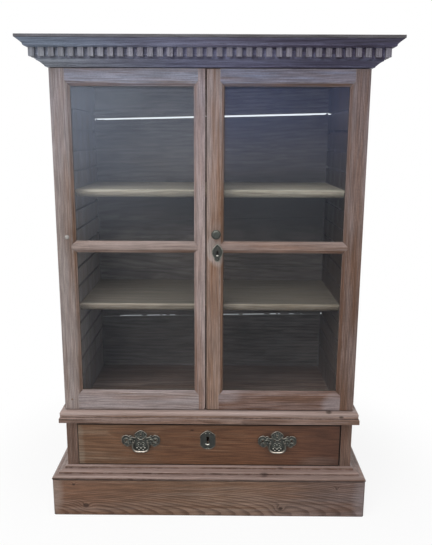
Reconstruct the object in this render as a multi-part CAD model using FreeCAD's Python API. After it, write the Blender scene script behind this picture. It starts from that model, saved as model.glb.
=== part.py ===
"""Glazed cabinet on a pedestal: two framed glass doors over one wide drawer.

Millimetres. +Z is up, the front faces -Y, and the origin is on the floor under the
middle of the bounding box. Each sub-part is written to parts/NAME.step.
"""

import os
import FreeCAD
import Part

# overall sizes
door_pair_width = 910.0
body_depth = 413.0
cornice_projection = 72.0
overall_depth = cornice_projection + body_depth
rear_y = overall_depth / 2
front_y = rear_y - body_depth
half_width = door_pair_width / 2

# cutting tools run past what they cut by this much
overrun = 5.0
mitre_reach = 140.0

# levels of the pedestal
plinth_height = 122.0
base_moulding_height = 32.0
opening_bottom = plinth_height + base_moulding_height
drawer_opening_height = 142.0
opening_top = opening_bottom + drawer_opening_height
drawer_rail_height = 10.0
pedestal_top_bottom = opening_top + drawer_rail_height
pedestal_top_thickness = 20.0
waist_bottom = pedestal_top_bottom + pedestal_top_thickness
waist_thickness = 18.0
waist_top = waist_bottom + waist_thickness

# levels of the doors and the cornice
door_end_gap = 2.0
door_height = 1032.0
door_bottom = waist_top + door_end_gap
door_top = door_bottom + door_height
cornice_bottom = door_top + door_end_gap
bed_moulding_height = 20.0
dentil_rail_bottom = cornice_bottom + bed_moulding_height
dentil_rail_height = 28.5
crown_bottom = dentil_rail_bottom + dentil_rail_height
crown_height = 21.5
cornice_board_bottom = crown_bottom + crown_height
cornice_board_thickness = 8.0
overall_height = cornice_board_bottom + cornice_board_thickness

# upper cabinet
side_inset = 4.0
side_thickness = 44.0
side_outer = half_width - side_inset
side_inner = side_outer - side_thickness
door_thickness = 22.0
door_back_gap = 1.5
door_back_y = front_y + door_thickness
cabinet_front_y = door_back_y + door_back_gap
cornice_line_y = front_y + side_inset
top_board_thickness = 22.0
top_board_drop = 4.0

# back boards and their nails
back_board_thickness = 13.0
back_board_y = rear_y - back_board_thickness
back_rebate_width = 12.0
back_board_side_gap = 0.5
first_back_joint_share = 0.18
back_board_pitch_share = 0.162
first_back_joint_slope = 14.0
back_joint_slope_step = 2.2
back_joint_total = 5
open_joints = (0, 4)
open_joint_gap = 6.0
tight_joint_gap = 0.8
nail_radius = 1.5
nail_length = 32.0
nail_head_radius = 3.2
nail_head_thickness = 1.6
nail_inset = 34.0

# shelves and the grooves that hold them
groove_rise = 95.4
groove_pitch = 59.4
groove_total = 15
groove_depth = 8.0
tongue_height = 8.0
tongue_top_clearance = 0.4
tongue_end_clearance = 1.0
shelf_grooves = (4, 10)
shelf_thickness = 23.5
shelf_front_setback = 39.0
shelf_end_clearance = 0.8
shelf_back_clearance = 1.5
shelf_nose_share = 0.42

# dentils
dentil_width = 16.0
dentil_height = 24.0
dentil_depth = 14.0
dentil_projection = 42.5
dentils_along_front = 37

# mouldings: steps of an outline, as shares of how far it stands out and of its height;
# one point is a straight step, two points are an arc through the first to the second
crown_lip = 3.0
crown_setback = 3.0
crown_shares = (
    ((0, 0),),
    ((0, 0.05),),
    ((0.3, 0.13), (0.39, 0.29)),
    ((0.36, 0.34),),
    ((0.67, 0.66), (1, 0.93)),
    ((1, 1),),
)
bed_setback = 1.9
bed_shares = (
    ((0.26, 0),),
    ((0.39, 0.08), (0.42, 0.2)),
    ((0.47, 0.24),),
    ((0.66, 0.5), (0.96, 0.8)),
    ((1, 0.8),),
    ((1, 1),),
)
waist_edge_out = 15.0
waist_shares = (
    ((1, 0),),
    ((1, 0.38),),
    ((0.93, 0.83), (0.66, 1)),
)
band_out = 18.6
band_shares = (
    ((1, 0),),
    ((1, 0.55),),
    ((0.92, 0.78), (0.72, 0.86)),
    ((0.72, 1),),
)
base_shares = (
    ((0.95, 0),),
    ((1, 0.14), (0.94, 0.3)),
    ((0.85, 0.385), (0.7, 0.4)),
    ((0.585, 0.4),),
    ((0.585, 0.56),),
    ((0.5, 0.64), (0.37, 0.7)),
    ((0.21, 0.72),),
    ((0.19, 0.9),),
    ((0.06, 1),),
)

# waist, pedestal and plinth
post_width = 34.0
post_depth = 34.0
opening_half = half_width - post_width
pedestal_side_thickness = 22.0
pedestal_back_thickness = 13.0
pedestal_foot = 60.0
drawer_top_rail_depth = 60.0
drawer_bottom_rail_depth = 22.0
runner_width = 20.0
runner_height = 20.0
guide_height = 30.0
plinth_projection = 43.0
plinth_thickness = 22.0
plinth_gap = plinth_projection - plinth_thickness
plinth_corner_radius = 9.0
block_length = 52.0
block_bottom = 62.0
block_shares = (0.12, 0.5, 0.86)
rail_block_x = 165.0

# doors
meeting_x = -11.0
meeting_gap = 3.5
outer_stile_width = 56.0
left_meeting_stile_width = 33.0
right_meeting_stile_width = 52.0
top_rail_width = 48.0
bottom_rail_width = 62.0
bar_width = 35.0
bar_middle_rise = 520.5
moulding_width = 13.0
moulding_shares = (
    ((0.108, 0),),
    ((0.108, 0.136),),
    ((0.554, 0.264), (0.8, 0.636)),
    ((1, 0.764),),
    ((1, 1),),
)
rebate_depth = 11.0
rebate_width = 8.5
pane_thickness = 3.0
pane_edge_clearance = 0.5
bead_width = 7.0
bead_thickness = 6.5
left_worn_radius = 9.0
right_worn_radius = 4.5

# hinges
hinge_height = 64.0
hinge_inset = 130.0
hinge_leaf_width = 24.0
hinge_leaf_thickness = 1.6
knuckle_radius = 3.8
knuckle_sweep_radius = 4.2
knuckle_notch_radius = 4.4
knuckle_end_gap = 0.4
knuckle_total = 5
hinge_pin_radius = 1.8
hinge_pin_clearance = 0.06
hinge_axis_y = door_back_y + door_back_gap / 2

# door fittings
knob_inset = 29.25
knob_above_bar = 41.5
knob_rose_radius = 9.0
knob_rose_thickness = 2.0
knob_neck_radius = 5.0
knob_neck_length = 8.0
knob_neck_shares = ((1.15, 0.35), (1, 0.7))
knob_radius = 14.2
knob_head_length = 15.0
knob_head_shares = ((1, 0.45), (0.5, 0.96))
knob_shank_radius = 2.5
knob_shank_length = 17.0
stile_screw_inset = 30.4
stile_screw_above_bar = 29.5
stile_screw_head_radius = 6.4
stile_screw_head_height = 2.4
stile_screw_radius = 2.4
stile_screw_length = 15.0
plate_thickness = 2.5
pin_round_share = 0.42
door_keyhole_radius = 2.6
door_keyhole_slot_width = 3.4
door_plate_inset = 33.25
door_plate_below_bar = 15.5
door_plate_half = 16.0
door_plate_rise = 27.5
door_plate_shares = (
    ((0, 1),),
    ((0.62, 0.645), (1, 0.29)),
    ((0.95, -0.175), (0.562, -0.62)),
    ((0, -1), (-0.562, -0.62)),
    ((-0.95, -0.175), (-1, 0.29)),
    ((-0.62, 0.645), (0, 1)),
)
door_keyhole_rise = 4.0
door_keyhole_drop = 9.0
door_plate_hole_radius = 3.0
door_plate_slot_width = 3.9
door_plate_pin_shares = (0.6, -0.745)
plate_pin_radius = 1.9
plate_pin_height = 1.5
door_lock_height = 56.0
door_lock_width = 37.5
door_lock_thickness = 11.0
door_lock_setback = 6.0
door_bolt_length = 26.0
door_bolt_height = 20.0
door_bolt_thickness = 7.0
door_bolt_travel = 9.0
bolt_clearance = 0.2
bolt_end_setback = 1.0
mortise_clearance = 0.8

# drawer
drawer_offset = -1.0
drawer_side_gap = 2.0
drawer_foot_gap = 1.5
drawer_head_gap = 2.5
drawer_front_thickness = 24.0
drawer_box_inset = 1.0
drawer_run_clearance = 0.5
drawer_side_thickness = 12.0
drawer_side_height = 130.0
drawer_back_height = 118.0
drawer_back_clearance = 8.0
drawer_bottom_thickness = 8.0
drawer_bottom_rise = 6.0
drawer_lock_x = -4.0
drawer_lock_half = 30.0
drawer_lock_height = 44.0
drawer_lock_thickness = 14.0
drawer_bolt_half = 11.0
drawer_bolt_length = 26.0
drawer_bolt_thickness = 7.0
drawer_bolt_setback = 4.0
drawer_bolt_rest_drop = 0.5
drawer_channel_depth = 34.0
drawer_plate_level = 89.0
drawer_plate_half = 24.0
drawer_plate_rise = 32.0
drawer_plate_shares = (
    ((-0.5, 0.828),),
    ((0, 1), (0.5, 0.828)),
    ((0.8, 0.675), (1, 0.5)),
    ((1, -0.562),),
    ((0.72, -0.833), (0, -0.969)),
    ((-0.72, -0.833), (-1, -0.562)),
    ((-1, 0.5),),
    ((-0.8, 0.675), (-0.5, 0.828)),
)
drawer_keyhole_rise = 8.0
drawer_keyhole_drop = 14.0
drawer_keyhole_radius = 4.2
drawer_keyhole_slot_width = 5.6
drawer_plate_hole_radius = 4.8
drawer_plate_slot_width = 6.4
drawer_plate_pin_shares = (0.81, -0.81)

# drawer handles
handle_spacing = 436.0
handle_level = 84.0
handle_post_spacing = 64.0
handle_axis_stand = 12.0
handle_ball_radius = 6.0
handle_neck_radius = 3.5
handle_shank_radius = 3.0
handle_nut_radius = 7.0
handle_nut_height = 5.0
handle_plate_half = 61.0
handle_plate_rise = 37.5
handle_shares = (
    ((0, 1),),
    ((0.148, 0.893), (0.32, 0.64)),
    ((0.32, 0.453), (0.262, 0.307)),
    ((0.361, 0.333), (0.475, 0.467)),
    ((0.566, 0.507), (0.631, 0.421)),
    ((0.721, 0.547), (0.82, 0.52)),
    ((0.959, 0.387), (1, 0.08)),
    ((0.967, -0.227), (0.836, -0.387)),
    ((0.738, -0.507), (0.623, -0.467)),
    ((0.508, -0.4), (0.459, -0.507)),
    ((0.402, -0.72), (0.3, -0.85)),
    ((0.17, -0.95), (0, -0.965)),
)
handle_hole_shares = (
    (0.754, 0.08),
    (0.656, -0.187),
    (0.861, -0.093),
    (0.131, 0.133),
    (0, 0.533),
)
handle_hole_radius = 3.4
bail_pin_radius = 2.0
bail_pin_clearance = 0.05
bail_radius = 2.8
bail_side_clearance = 1.2
bail_drop = 33.0
bail_shares = ((1.09, 0.136), (1.159, 0.485), (1, 0.833), (0.545, 0.985))

# places that follow from the sizes above
crown_out = cornice_projection + side_inset - crown_setback
crown_foot_out = dentil_projection + side_inset + crown_lip
dentil_rail_out = dentil_projection + side_inset - dentil_depth
back_board_half = side_inner + back_rebate_width - back_board_side_gap
back_height = cornice_board_bottom - waist_top
bar_middle = door_bottom + bar_middle_rise
meeting_left_x = meeting_x - meeting_gap / 2
meeting_right_x = meeting_x + meeting_gap / 2
knob_x = meeting_right_x + knob_inset
knob_z = bar_middle + knob_above_bar
stile_screw_x = stile_screw_inset - half_width
stile_screw_z = bar_middle + stile_screw_above_bar
door_plate_x = meeting_right_x + door_plate_inset
door_plate_z = bar_middle - door_plate_below_bar
drawer_plate_z = opening_bottom + drawer_plate_level
handle_x = handle_spacing / 2
handle_z = opening_bottom + handle_level
bail_top_half = handle_post_spacing / 2 - handle_ball_radius - bail_radius - bail_side_clearance
same_place = 0.01


def box(low_x, high_x, low_y, high_y, low_z, high_z):
    corner = FreeCAD.Vector(low_x, low_y, low_z)
    return Part.makeBox(high_x - low_x, high_y - low_y, high_z - low_z, corner)


def rod(radius, start, reach):
    return Part.makeCylinder(radius, reach.Length, start, reach)


def mirrored(shape):
    return shape.mirror(FreeCAD.Vector(0, 0, 0), FreeCAD.Vector(1, 0, 0))


def group(shapes):
    return Part.makeCompound(shapes)


def outline_face(start, steps):
    """Closed face from a start point and steps of one point (line) or two points (arc)."""
    edges = []
    here = start
    for step in steps:
        if len(step) == 1:
            edges.append(Part.makeLine(here, step[0]))
        else:
            edges.append(Part.Arc(here, step[0], step[1]).toShape())
        here = step[-1]
    if (here - start).Length > 0:
        edges.append(Part.makeLine(here, start))
    return Part.Face(Part.Wire(edges))


def prism_up(corners, low_z, high_z):
    points = [FreeCAD.Vector(x, y, low_z) for x, y in corners]
    points.append(points[0])
    face = Part.Face(Part.makePolygon(points))
    return face.extrude(FreeCAD.Vector(0, 0, high_z - low_z))


def placed_outline(outline, place):
    start = place(outline[0][0])
    steps = [[place(point) for point in step] for step in outline[1:]]
    return outline_face(start, steps)


def mitred_runs(outline, wall_x, wall_y, foot_z, head_z):
    """Front, left and right lengths of one moulding, mitred where they meet."""
    low = foot_z - overrun
    high = head_z + overrun
    outer = wall_x + mitre_reach
    ahead = wall_y - mitre_reach

    front_face = placed_outline(
        outline, lambda point: FreeCAD.Vector(-outer, wall_y - point[0], foot_z + point[1])
    )
    front = front_face.extrude(FreeCAD.Vector(2 * outer, 0, 0))
    front_zone = prism_up(
        ((-outer, ahead), (outer, ahead), (wall_x, wall_y), (-wall_x, wall_y)), low, high
    )
    front = front.common(front_zone).Solids[0]

    side_face = placed_outline(
        outline, lambda point: FreeCAD.Vector(wall_x + point[0], ahead, foot_z + point[1])
    )
    right = side_face.extrude(FreeCAD.Vector(0, rear_y - ahead, 0))
    right_zone = prism_up(
        ((wall_x, wall_y), (outer, ahead), (outer, rear_y), (wall_x, rear_y)), low, high
    )
    right = right.common(right_zone).Solids[0]
    return front, mirrored(right), right


def spread(shares, low_out, high_out, height):
    """Outline steps placed between two distances out from the wall, up to a height."""
    steps = []
    for step in shares:
        steps.append(tuple((low_out + out * (high_out - low_out), up * height) for out, up in step))
    return tuple(steps)


def wall_outline(shares, low_out, high_out, height):
    """Closed outline of a moulding whose back is flat against the wall line."""
    return (((0, 0),),) + spread(shares, low_out, high_out, height) + (((0, height),),)


def crown_runs():
    outline = wall_outline(crown_shares, crown_foot_out, crown_out, crown_height)
    return mitred_runs(outline, side_outer, cornice_line_y, crown_bottom, cornice_board_bottom)


def bed_runs():
    outline = wall_outline(bed_shares, 0, dentil_rail_out - bed_setback, bed_moulding_height)
    return mitred_runs(outline, side_outer, cornice_line_y, cornice_bottom, dentil_rail_bottom)


def dentil_rail_runs():
    outline = wall_outline(
        (((1, 0),), ((1, 1),)), 0, dentil_rail_out, dentil_rail_height
    )
    return mitred_runs(outline, side_outer, cornice_line_y, dentil_rail_bottom, crown_bottom)


def dentil_blocks(rails):
    face_x = half_width + dentil_projection
    face_y = front_y - dentil_projection
    low_z = crown_bottom - dentil_height
    pitch = (2 * face_x - dentil_width) / (dentils_along_front - 1)
    corner = box(
        face_x - dentil_width, face_x, face_y, face_y + dentil_width, low_z, crown_bottom
    )
    for rail in rails:
        corner = corner.cut(rail)
    corner = corner.Solids[0]
    blocks = [corner, mirrored(corner)]
    for number in range(1, dentils_along_front - 1):
        low_x = -face_x + number * pitch
        blocks.append(
            box(low_x, low_x + dentil_width, face_y, face_y + dentil_depth, low_z, crown_bottom)
        )
    low_y = face_y + pitch
    while low_y + dentil_width < rear_y:
        block = box(face_x - dentil_depth, face_x, low_y, low_y + dentil_width, low_z, crown_bottom)
        blocks.append(block)
        blocks.append(mirrored(block))
        low_y += pitch
    return group(blocks)


def make_cornice():
    parts = {}
    edge_x = half_width + cornice_projection
    parts["cornice_board"] = box(
        -edge_x, edge_x, front_y - cornice_projection, rear_y, cornice_board_bottom, overall_height
    )
    front, left, right = crown_runs()
    parts["crown_front"] = front
    parts["crown_returns"] = group([left, right])
    rails = dentil_rail_runs()
    parts["dentil_rails"] = group(rails)
    parts["dentils"] = dentil_blocks(rails)
    parts["bed_moulding"] = group(bed_runs())
    parts["frieze_board"] = box(
        -side_outer, side_outer, cornice_line_y, cabinet_front_y, cornice_bottom, cornice_board_bottom
    )
    return parts


def groove_bottom(number):
    top = waist_top + groove_rise + number * groove_pitch
    return top - tongue_height


def hinge_levels():
    return (door_bottom + hinge_inset, door_top - hinge_inset - hinge_height)


def hinge_leaf_box(low_y, high_y, low_z):
    return box(
        half_width - hinge_leaf_width, half_width, low_y, high_y, low_z, low_z + hinge_height
    )


def knuckle_spans(low_z, numbers):
    length = (hinge_height - (knuckle_total - 1) * knuckle_end_gap) / knuckle_total
    step = length + knuckle_end_gap
    return [(low_z + number * step, length) for number in numbers]


def knuckle_rod(radius, low_z, length):
    start = FreeCAD.Vector(half_width, hinge_axis_y, low_z)
    return rod(radius, start, FreeCAD.Vector(0, 0, length))


def cabinet_hinge(low_z):
    """Right-hand leaf screwed to the cabinet side, with its knuckles and the pin."""
    leaf = hinge_leaf_box(cabinet_front_y, cabinet_front_y + hinge_leaf_thickness, low_z)
    for start, length in knuckle_spans(low_z, (1, 3)):
        swept = knuckle_rod(
            knuckle_sweep_radius, start - knuckle_end_gap, length + 2 * knuckle_end_gap
        )
        leaf = leaf.cut(swept)
    for start, length in knuckle_spans(low_z, (0, 2, 4)):
        leaf = leaf.fuse(knuckle_rod(knuckle_radius, start, length))
    leaf = leaf.fuse(knuckle_rod(hinge_pin_radius, low_z, hinge_height))
    return leaf.removeSplitter().Solids[0]


def door_hinge(low_z):
    """Right-hand leaf screwed to the door, with its knuckles bored for the pin."""
    leaf = hinge_leaf_box(door_back_y - hinge_leaf_thickness, door_back_y, low_z)
    for start, length in knuckle_spans(low_z, (0, 2, 4)):
        swept = knuckle_rod(
            knuckle_sweep_radius, start - knuckle_end_gap, length + 2 * knuckle_end_gap
        )
        leaf = leaf.cut(swept)
    for start, length in knuckle_spans(low_z, (1, 3)):
        leaf = leaf.fuse(knuckle_rod(knuckle_radius, start, length))
    bore = knuckle_rod(
        hinge_pin_radius + hinge_pin_clearance, low_z - overrun, hinge_height + 2 * overrun
    )
    return leaf.cut(bore).removeSplitter().Solids[0]


def make_side():
    """Right-hand side board, with shelf grooves, the back rebate and hinge recesses."""
    side = box(side_inner, side_outer, cabinet_front_y, rear_y, waist_top, cornice_board_bottom)
    side = side.cut(
        box(
            side_inner - overrun,
            side_inner + back_rebate_width,
            back_board_y,
            rear_y + overrun,
            waist_top - overrun,
            cornice_board_bottom + overrun,
        )
    )
    for number in range(groove_total):
        low = groove_bottom(number)
        high = low + tongue_height + tongue_top_clearance
        side = side.cut(
            box(
                side_inner - overrun,
                side_inner + groove_depth,
                cabinet_front_y - overrun,
                back_board_y + overrun,
                low,
                high,
            )
        )
    for level in hinge_levels():
        side = side.cut(
            hinge_leaf_box(
                cabinet_front_y - overrun, cabinet_front_y + hinge_leaf_thickness, level
            )
        )
    return side


def back_board_edges():
    """Lower and upper edge of each board: its middle level, and its rise from left to right."""
    edges = []
    low = (waist_top, 0)
    for number in range(back_joint_total):
        share = first_back_joint_share + number * back_board_pitch_share
        middle = waist_top + share * back_height
        slope = first_back_joint_slope + number * back_joint_slope_step
        gap = open_joint_gap if number in open_joints else tight_joint_gap
        edges.append((low, (middle - gap / 2, slope)))
        low = (middle + gap / 2, slope)
    edges.append((low, (cornice_board_bottom, 0)))
    return edges


def edge_level(edge, x):
    """Height of a board's edge at a distance from its middle."""
    middle, slope = edge
    return middle + slope * x / (2 * back_board_half)


def back_board(low, high):
    corners = (
        (-back_board_half, edge_level(low, -back_board_half)),
        (back_board_half, edge_level(low, back_board_half)),
        (back_board_half, edge_level(high, back_board_half)),
        (-back_board_half, edge_level(high, -back_board_half)),
    )
    points = [FreeCAD.Vector(x, back_board_y, z) for x, z in corners]
    points.append(points[0])
    face = Part.Face(Part.makePolygon(points))
    return face.extrude(FreeCAD.Vector(0, back_board_thickness, 0))


def back_nail(x, z):
    shank = rod(nail_radius, FreeCAD.Vector(x, rear_y, z), FreeCAD.Vector(0, -nail_length, 0))
    head = rod(
        nail_head_radius, FreeCAD.Vector(x, rear_y, z), FreeCAD.Vector(0, -nail_head_thickness, 0)
    )
    return shank.fuse(head).removeSplitter().Solids[0]


def back_nails():
    nails = []
    out = side_inner + back_rebate_width / 2
    for low, high in back_board_edges():
        for x in (out, -out):
            nails.append(back_nail(x, edge_level(low, x) + nail_inset))
            nails.append(back_nail(x, edge_level(high, x) - nail_inset))
    return nails


def lies_at(low, high, place):
    return abs(low - place) < same_place and abs(high - place) < same_place


def long_edges(shape, y, z):
    """Edges that run along X at one place."""
    found = []
    for edge in shape.Edges:
        bounds = edge.BoundBox
        if lies_at(bounds.YMin, bounds.YMax, y) and lies_at(bounds.ZMin, bounds.ZMax, z):
            found.append(edge)
    return found


def worn_corner(stile, x, z, radius):
    """Rounds off the corner of a stile whose edge runs from front to back at one place."""
    found = []
    for edge in stile.Edges:
        bounds = edge.BoundBox
        if lies_at(bounds.XMin, bounds.XMax, x) and lies_at(bounds.ZMin, bounds.ZMax, z):
            found.append(edge)
    return stile.makeFillet(radius, found).Solids[0]


def make_shelf(number):
    """One shelf with a rounded front edge and a tongue along the top of each end."""
    low_tongue = groove_bottom(number)
    top = low_tongue + tongue_height
    low = top - shelf_thickness
    front = cabinet_front_y + shelf_front_setback
    back = back_board_y - shelf_back_clearance
    end = side_inner - shelf_end_clearance
    tongue_end = side_inner + groove_depth - tongue_end_clearance
    plank = box(-end, end, front, back, low, top)
    tongue = box(-tongue_end, tongue_end, front, back, low_tongue, top)
    shelf = plank.fuse(tongue).removeSplitter()
    shelf = shelf.makeFillet(shelf_thickness * shelf_nose_share, long_edges(shelf, front, low))
    shelf = shelf.makeFillet(tongue_height * shelf_nose_share, long_edges(shelf, front, top))
    return shelf.Solids[0]


def make_upper_cabinet():
    parts = {}
    right = make_side()
    left = mirrored(right)
    boards = [back_board(low, high) for low, high in back_board_edges()]
    nails = back_nails()
    for nail in nails:
        boards = [board.cut(nail) if nail.distToShape(board)[0] == 0 else board for board in boards]
        if nail.BoundBox.XMin > 0:
            right = right.cut(nail)
        else:
            left = left.cut(nail)
    parts["side_right"] = right
    parts["side_left"] = left
    parts["back_boards"] = group([board.Solids[0] for board in boards])
    parts["back_nails"] = group(nails)
    top = door_top - top_board_drop
    parts["top_board"] = box(
        -side_inner, side_inner, cabinet_front_y, back_board_y, top - top_board_thickness, top
    )
    parts["shelf_lower"] = make_shelf(shelf_grooves[0])
    parts["shelf_upper"] = make_shelf(shelf_grooves[1])
    hinges = [cabinet_hinge(level) for level in hinge_levels()]
    parts["cabinet_hinges"] = group(hinges + [mirrored(hinge) for hinge in hinges])
    return parts


def make_waist():
    parts = {}
    edge = wall_outline(waist_shares, 0, waist_edge_out, waist_thickness)
    board = box(-half_width, half_width, front_y, rear_y, waist_bottom, waist_top)
    for run in mitred_runs(edge, half_width, front_y, waist_bottom, waist_top):
        board = board.fuse(run)
    parts["waist_board"] = board.removeSplitter().Solids[0]
    band = wall_outline(band_shares, 0, band_out, pedestal_top_thickness)
    parts["waist_band"] = group(
        mitred_runs(band, half_width, front_y, pedestal_top_bottom, waist_bottom)
    )
    parts["pedestal_top"] = box(
        -half_width, half_width, front_y, rear_y, pedestal_top_bottom, waist_bottom
    )
    return parts


def drawer_bolt_y():
    """Front and back of the drawer bolt."""
    front = front_y + drawer_front_thickness - drawer_lock_thickness + drawer_bolt_setback
    return front, front + drawer_bolt_thickness


def make_pedestal():
    parts = {}
    post = box(
        opening_half, half_width, front_y, front_y + post_depth, pedestal_foot, pedestal_top_bottom
    )
    parts["pedestal_posts"] = group([post, mirrored(post)])
    side_face = half_width - pedestal_side_thickness
    behind_post = front_y + post_depth
    back_face = rear_y - pedestal_back_thickness
    side = box(side_face, half_width, behind_post, back_face, pedestal_foot, pedestal_top_bottom)
    parts["pedestal_sides"] = group([side, mirrored(side)])
    parts["pedestal_back"] = box(
        -half_width, half_width, back_face, rear_y, pedestal_foot, pedestal_top_bottom
    )
    rail = box(
        -opening_half,
        opening_half,
        front_y,
        front_y + drawer_top_rail_depth,
        opening_top,
        pedestal_top_bottom,
    )
    bolt_front, bolt_back = drawer_bolt_y()
    slot = box(
        drawer_lock_x - drawer_bolt_half - mortise_clearance,
        drawer_lock_x + drawer_bolt_half + mortise_clearance,
        bolt_front - mortise_clearance,
        bolt_back + mortise_clearance,
        opening_top - overrun,
        pedestal_top_bottom + overrun,
    )
    parts["drawer_top_rail"] = rail.cut(slot)
    rail_back = front_y + drawer_bottom_rail_depth
    parts["drawer_bottom_rail"] = box(
        -opening_half, opening_half, front_y, rail_back, plinth_height, opening_bottom
    )
    runner_ahead = box(
        opening_half - runner_width,
        opening_half,
        rail_back,
        behind_post,
        opening_bottom - runner_height,
        opening_bottom,
    )
    runner_rest = box(
        opening_half - runner_width,
        side_face,
        behind_post,
        back_face,
        opening_bottom - runner_height,
        opening_bottom,
    )
    runner = runner_ahead.fuse(runner_rest).removeSplitter().Solids[0]
    guide = box(
        opening_half,
        side_face,
        behind_post,
        back_face,
        opening_bottom,
        opening_bottom + guide_height,
    )
    parts["drawer_runners"] = group([runner, mirrored(runner), guide, mirrored(guide)])
    return parts


def corner_rounding():
    """What the rounded outer corner of the plinth leaves out, on the right-hand side."""
    outer_x = half_width + plinth_projection
    outer_y = front_y - plinth_projection
    inner_x = outer_x - plinth_corner_radius
    inner_y = outer_y + plinth_corner_radius
    block = box(
        inner_x, outer_x + overrun, outer_y - overrun, inner_y, -overrun, plinth_height + overrun
    )
    start = FreeCAD.Vector(inner_x, inner_y, -overrun)
    return block.cut(
        rod(plinth_corner_radius, start, FreeCAD.Vector(0, 0, plinth_height + 2 * overrun))
    )


def glue_blocks():
    blocks = []
    run = body_depth - block_length
    for share in block_shares:
        low_y = front_y + share * run
        block = box(
            half_width, half_width + plinth_gap, low_y, low_y + block_length, block_bottom, plinth_height
        )
        blocks.extend([block, mirrored(block)])
    post_block = box(
        opening_half, half_width, front_y - plinth_gap, front_y, block_bottom, plinth_height
    )
    blocks.extend([post_block, mirrored(post_block)])
    rail_block = box(
        rail_block_x,
        rail_block_x + block_length,
        front_y - plinth_gap,
        front_y + drawer_bottom_rail_depth,
        block_bottom,
        plinth_height,
    )
    blocks.extend([rail_block, mirrored(rail_block)])
    return group(blocks)


def make_base():
    parts = {}
    moulding = wall_outline(base_shares, 0, plinth_projection, base_moulding_height)
    parts["base_moulding"] = group(
        mitred_runs(moulding, half_width, front_y, plinth_height, opening_bottom)
    )
    plank = (
        ((plinth_gap, 0),),
        ((plinth_projection, 0),),
        ((plinth_projection, plinth_height),),
        ((plinth_gap, plinth_height),),
    )
    front, left, right = mitred_runs(plank, half_width, front_y, 0, plinth_height)
    rounding = corner_rounding()
    parts["plinth_front"] = front.cut(rounding).cut(mirrored(rounding)).Solids[0]
    right = right.cut(rounding).Solids[0]
    parts["plinth_sides"] = group([right, mirrored(right)])
    parts["glue_blocks"] = glue_blocks()
    return parts


def moulded_edges(low_x, high_x, low_z, high_z):
    """The four moulded edges round one pane, mitred at its corners.

    The pane's clear size is given. Returns bottom, top, left and right edges.
    """
    wide = moulding_width
    back = wide - rebate_width
    outline = (((0, 0),),) + spread(moulding_shares, 0, wide, rebate_depth)
    outline += (((back, rebate_depth),), ((back, door_thickness),), ((0, door_thickness),))
    outer_low_x = low_x - wide
    outer_high_x = high_x + wide
    outer_low_z = low_z - wide
    outer_high_z = high_z + wide

    def across(from_z, sense):
        face = placed_outline(
            outline,
            lambda point: FreeCAD.Vector(outer_low_x, front_y + point[1], from_z + sense * point[0]),
        )
        return face.extrude(FreeCAD.Vector(outer_high_x - outer_low_x, 0, 0))

    def upright(from_x, sense):
        face = placed_outline(
            outline,
            lambda point: FreeCAD.Vector(from_x + sense * point[0], front_y + point[1], outer_low_z),
        )
        return face.extrude(FreeCAD.Vector(0, 0, outer_high_z - outer_low_z))

    def zone(corners):
        points = [FreeCAD.Vector(x, front_y - overrun, z) for x, z in corners]
        points.append(points[0])
        face = Part.Face(Part.makePolygon(points))
        return face.extrude(FreeCAD.Vector(0, door_thickness + 2 * overrun, 0))

    bottom_zone = zone(
        ((outer_low_x, outer_low_z), (outer_high_x, outer_low_z), (high_x, low_z), (low_x, low_z))
    )
    top_zone = zone(
        ((outer_low_x, outer_high_z), (outer_high_x, outer_high_z), (high_x, high_z), (low_x, high_z))
    )
    left_zone = zone(
        ((outer_low_x, outer_low_z), (low_x, low_z), (low_x, high_z), (outer_low_x, outer_high_z))
    )
    right_zone = zone(
        ((outer_high_x, outer_low_z), (high_x, low_z), (high_x, high_z), (outer_high_x, outer_high_z))
    )
    return (
        across(outer_low_z, 1).common(bottom_zone),
        across(outer_high_z, -1).common(top_zone),
        upright(outer_low_x, 1).common(left_zone),
        upright(outer_high_x, -1).common(right_zone),
    )


def joined(first, *others):
    for other in others:
        first = first.fuse(other)
    return first.removeSplitter().Solids[0]


def pane_levels():
    """Clear bottom and top of the lower and the upper pane."""
    lower = (door_bottom + bottom_rail_width, bar_middle - bar_width / 2)
    upper = (bar_middle + bar_width / 2, door_top - top_rail_width)
    return lower, upper


def pane_beads(low_x, high_x, low_z, high_z):
    """Four strips behind one pane that hold it in its rebate."""
    reach = rebate_width - pane_edge_clearance
    near_y = front_y + rebate_depth + pane_thickness
    far_y = near_y + bead_thickness
    left = low_x - reach
    right = high_x + reach
    foot = low_z - reach
    head = high_z + reach
    return [
        box(left, right, near_y, far_y, foot, foot + bead_width),
        box(left, right, near_y, far_y, head - bead_width, head),
        box(left, left + bead_width, near_y, far_y, foot + bead_width, head - bead_width),
        box(right - bead_width, right, near_y, far_y, foot + bead_width, head - bead_width),
    ]


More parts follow.
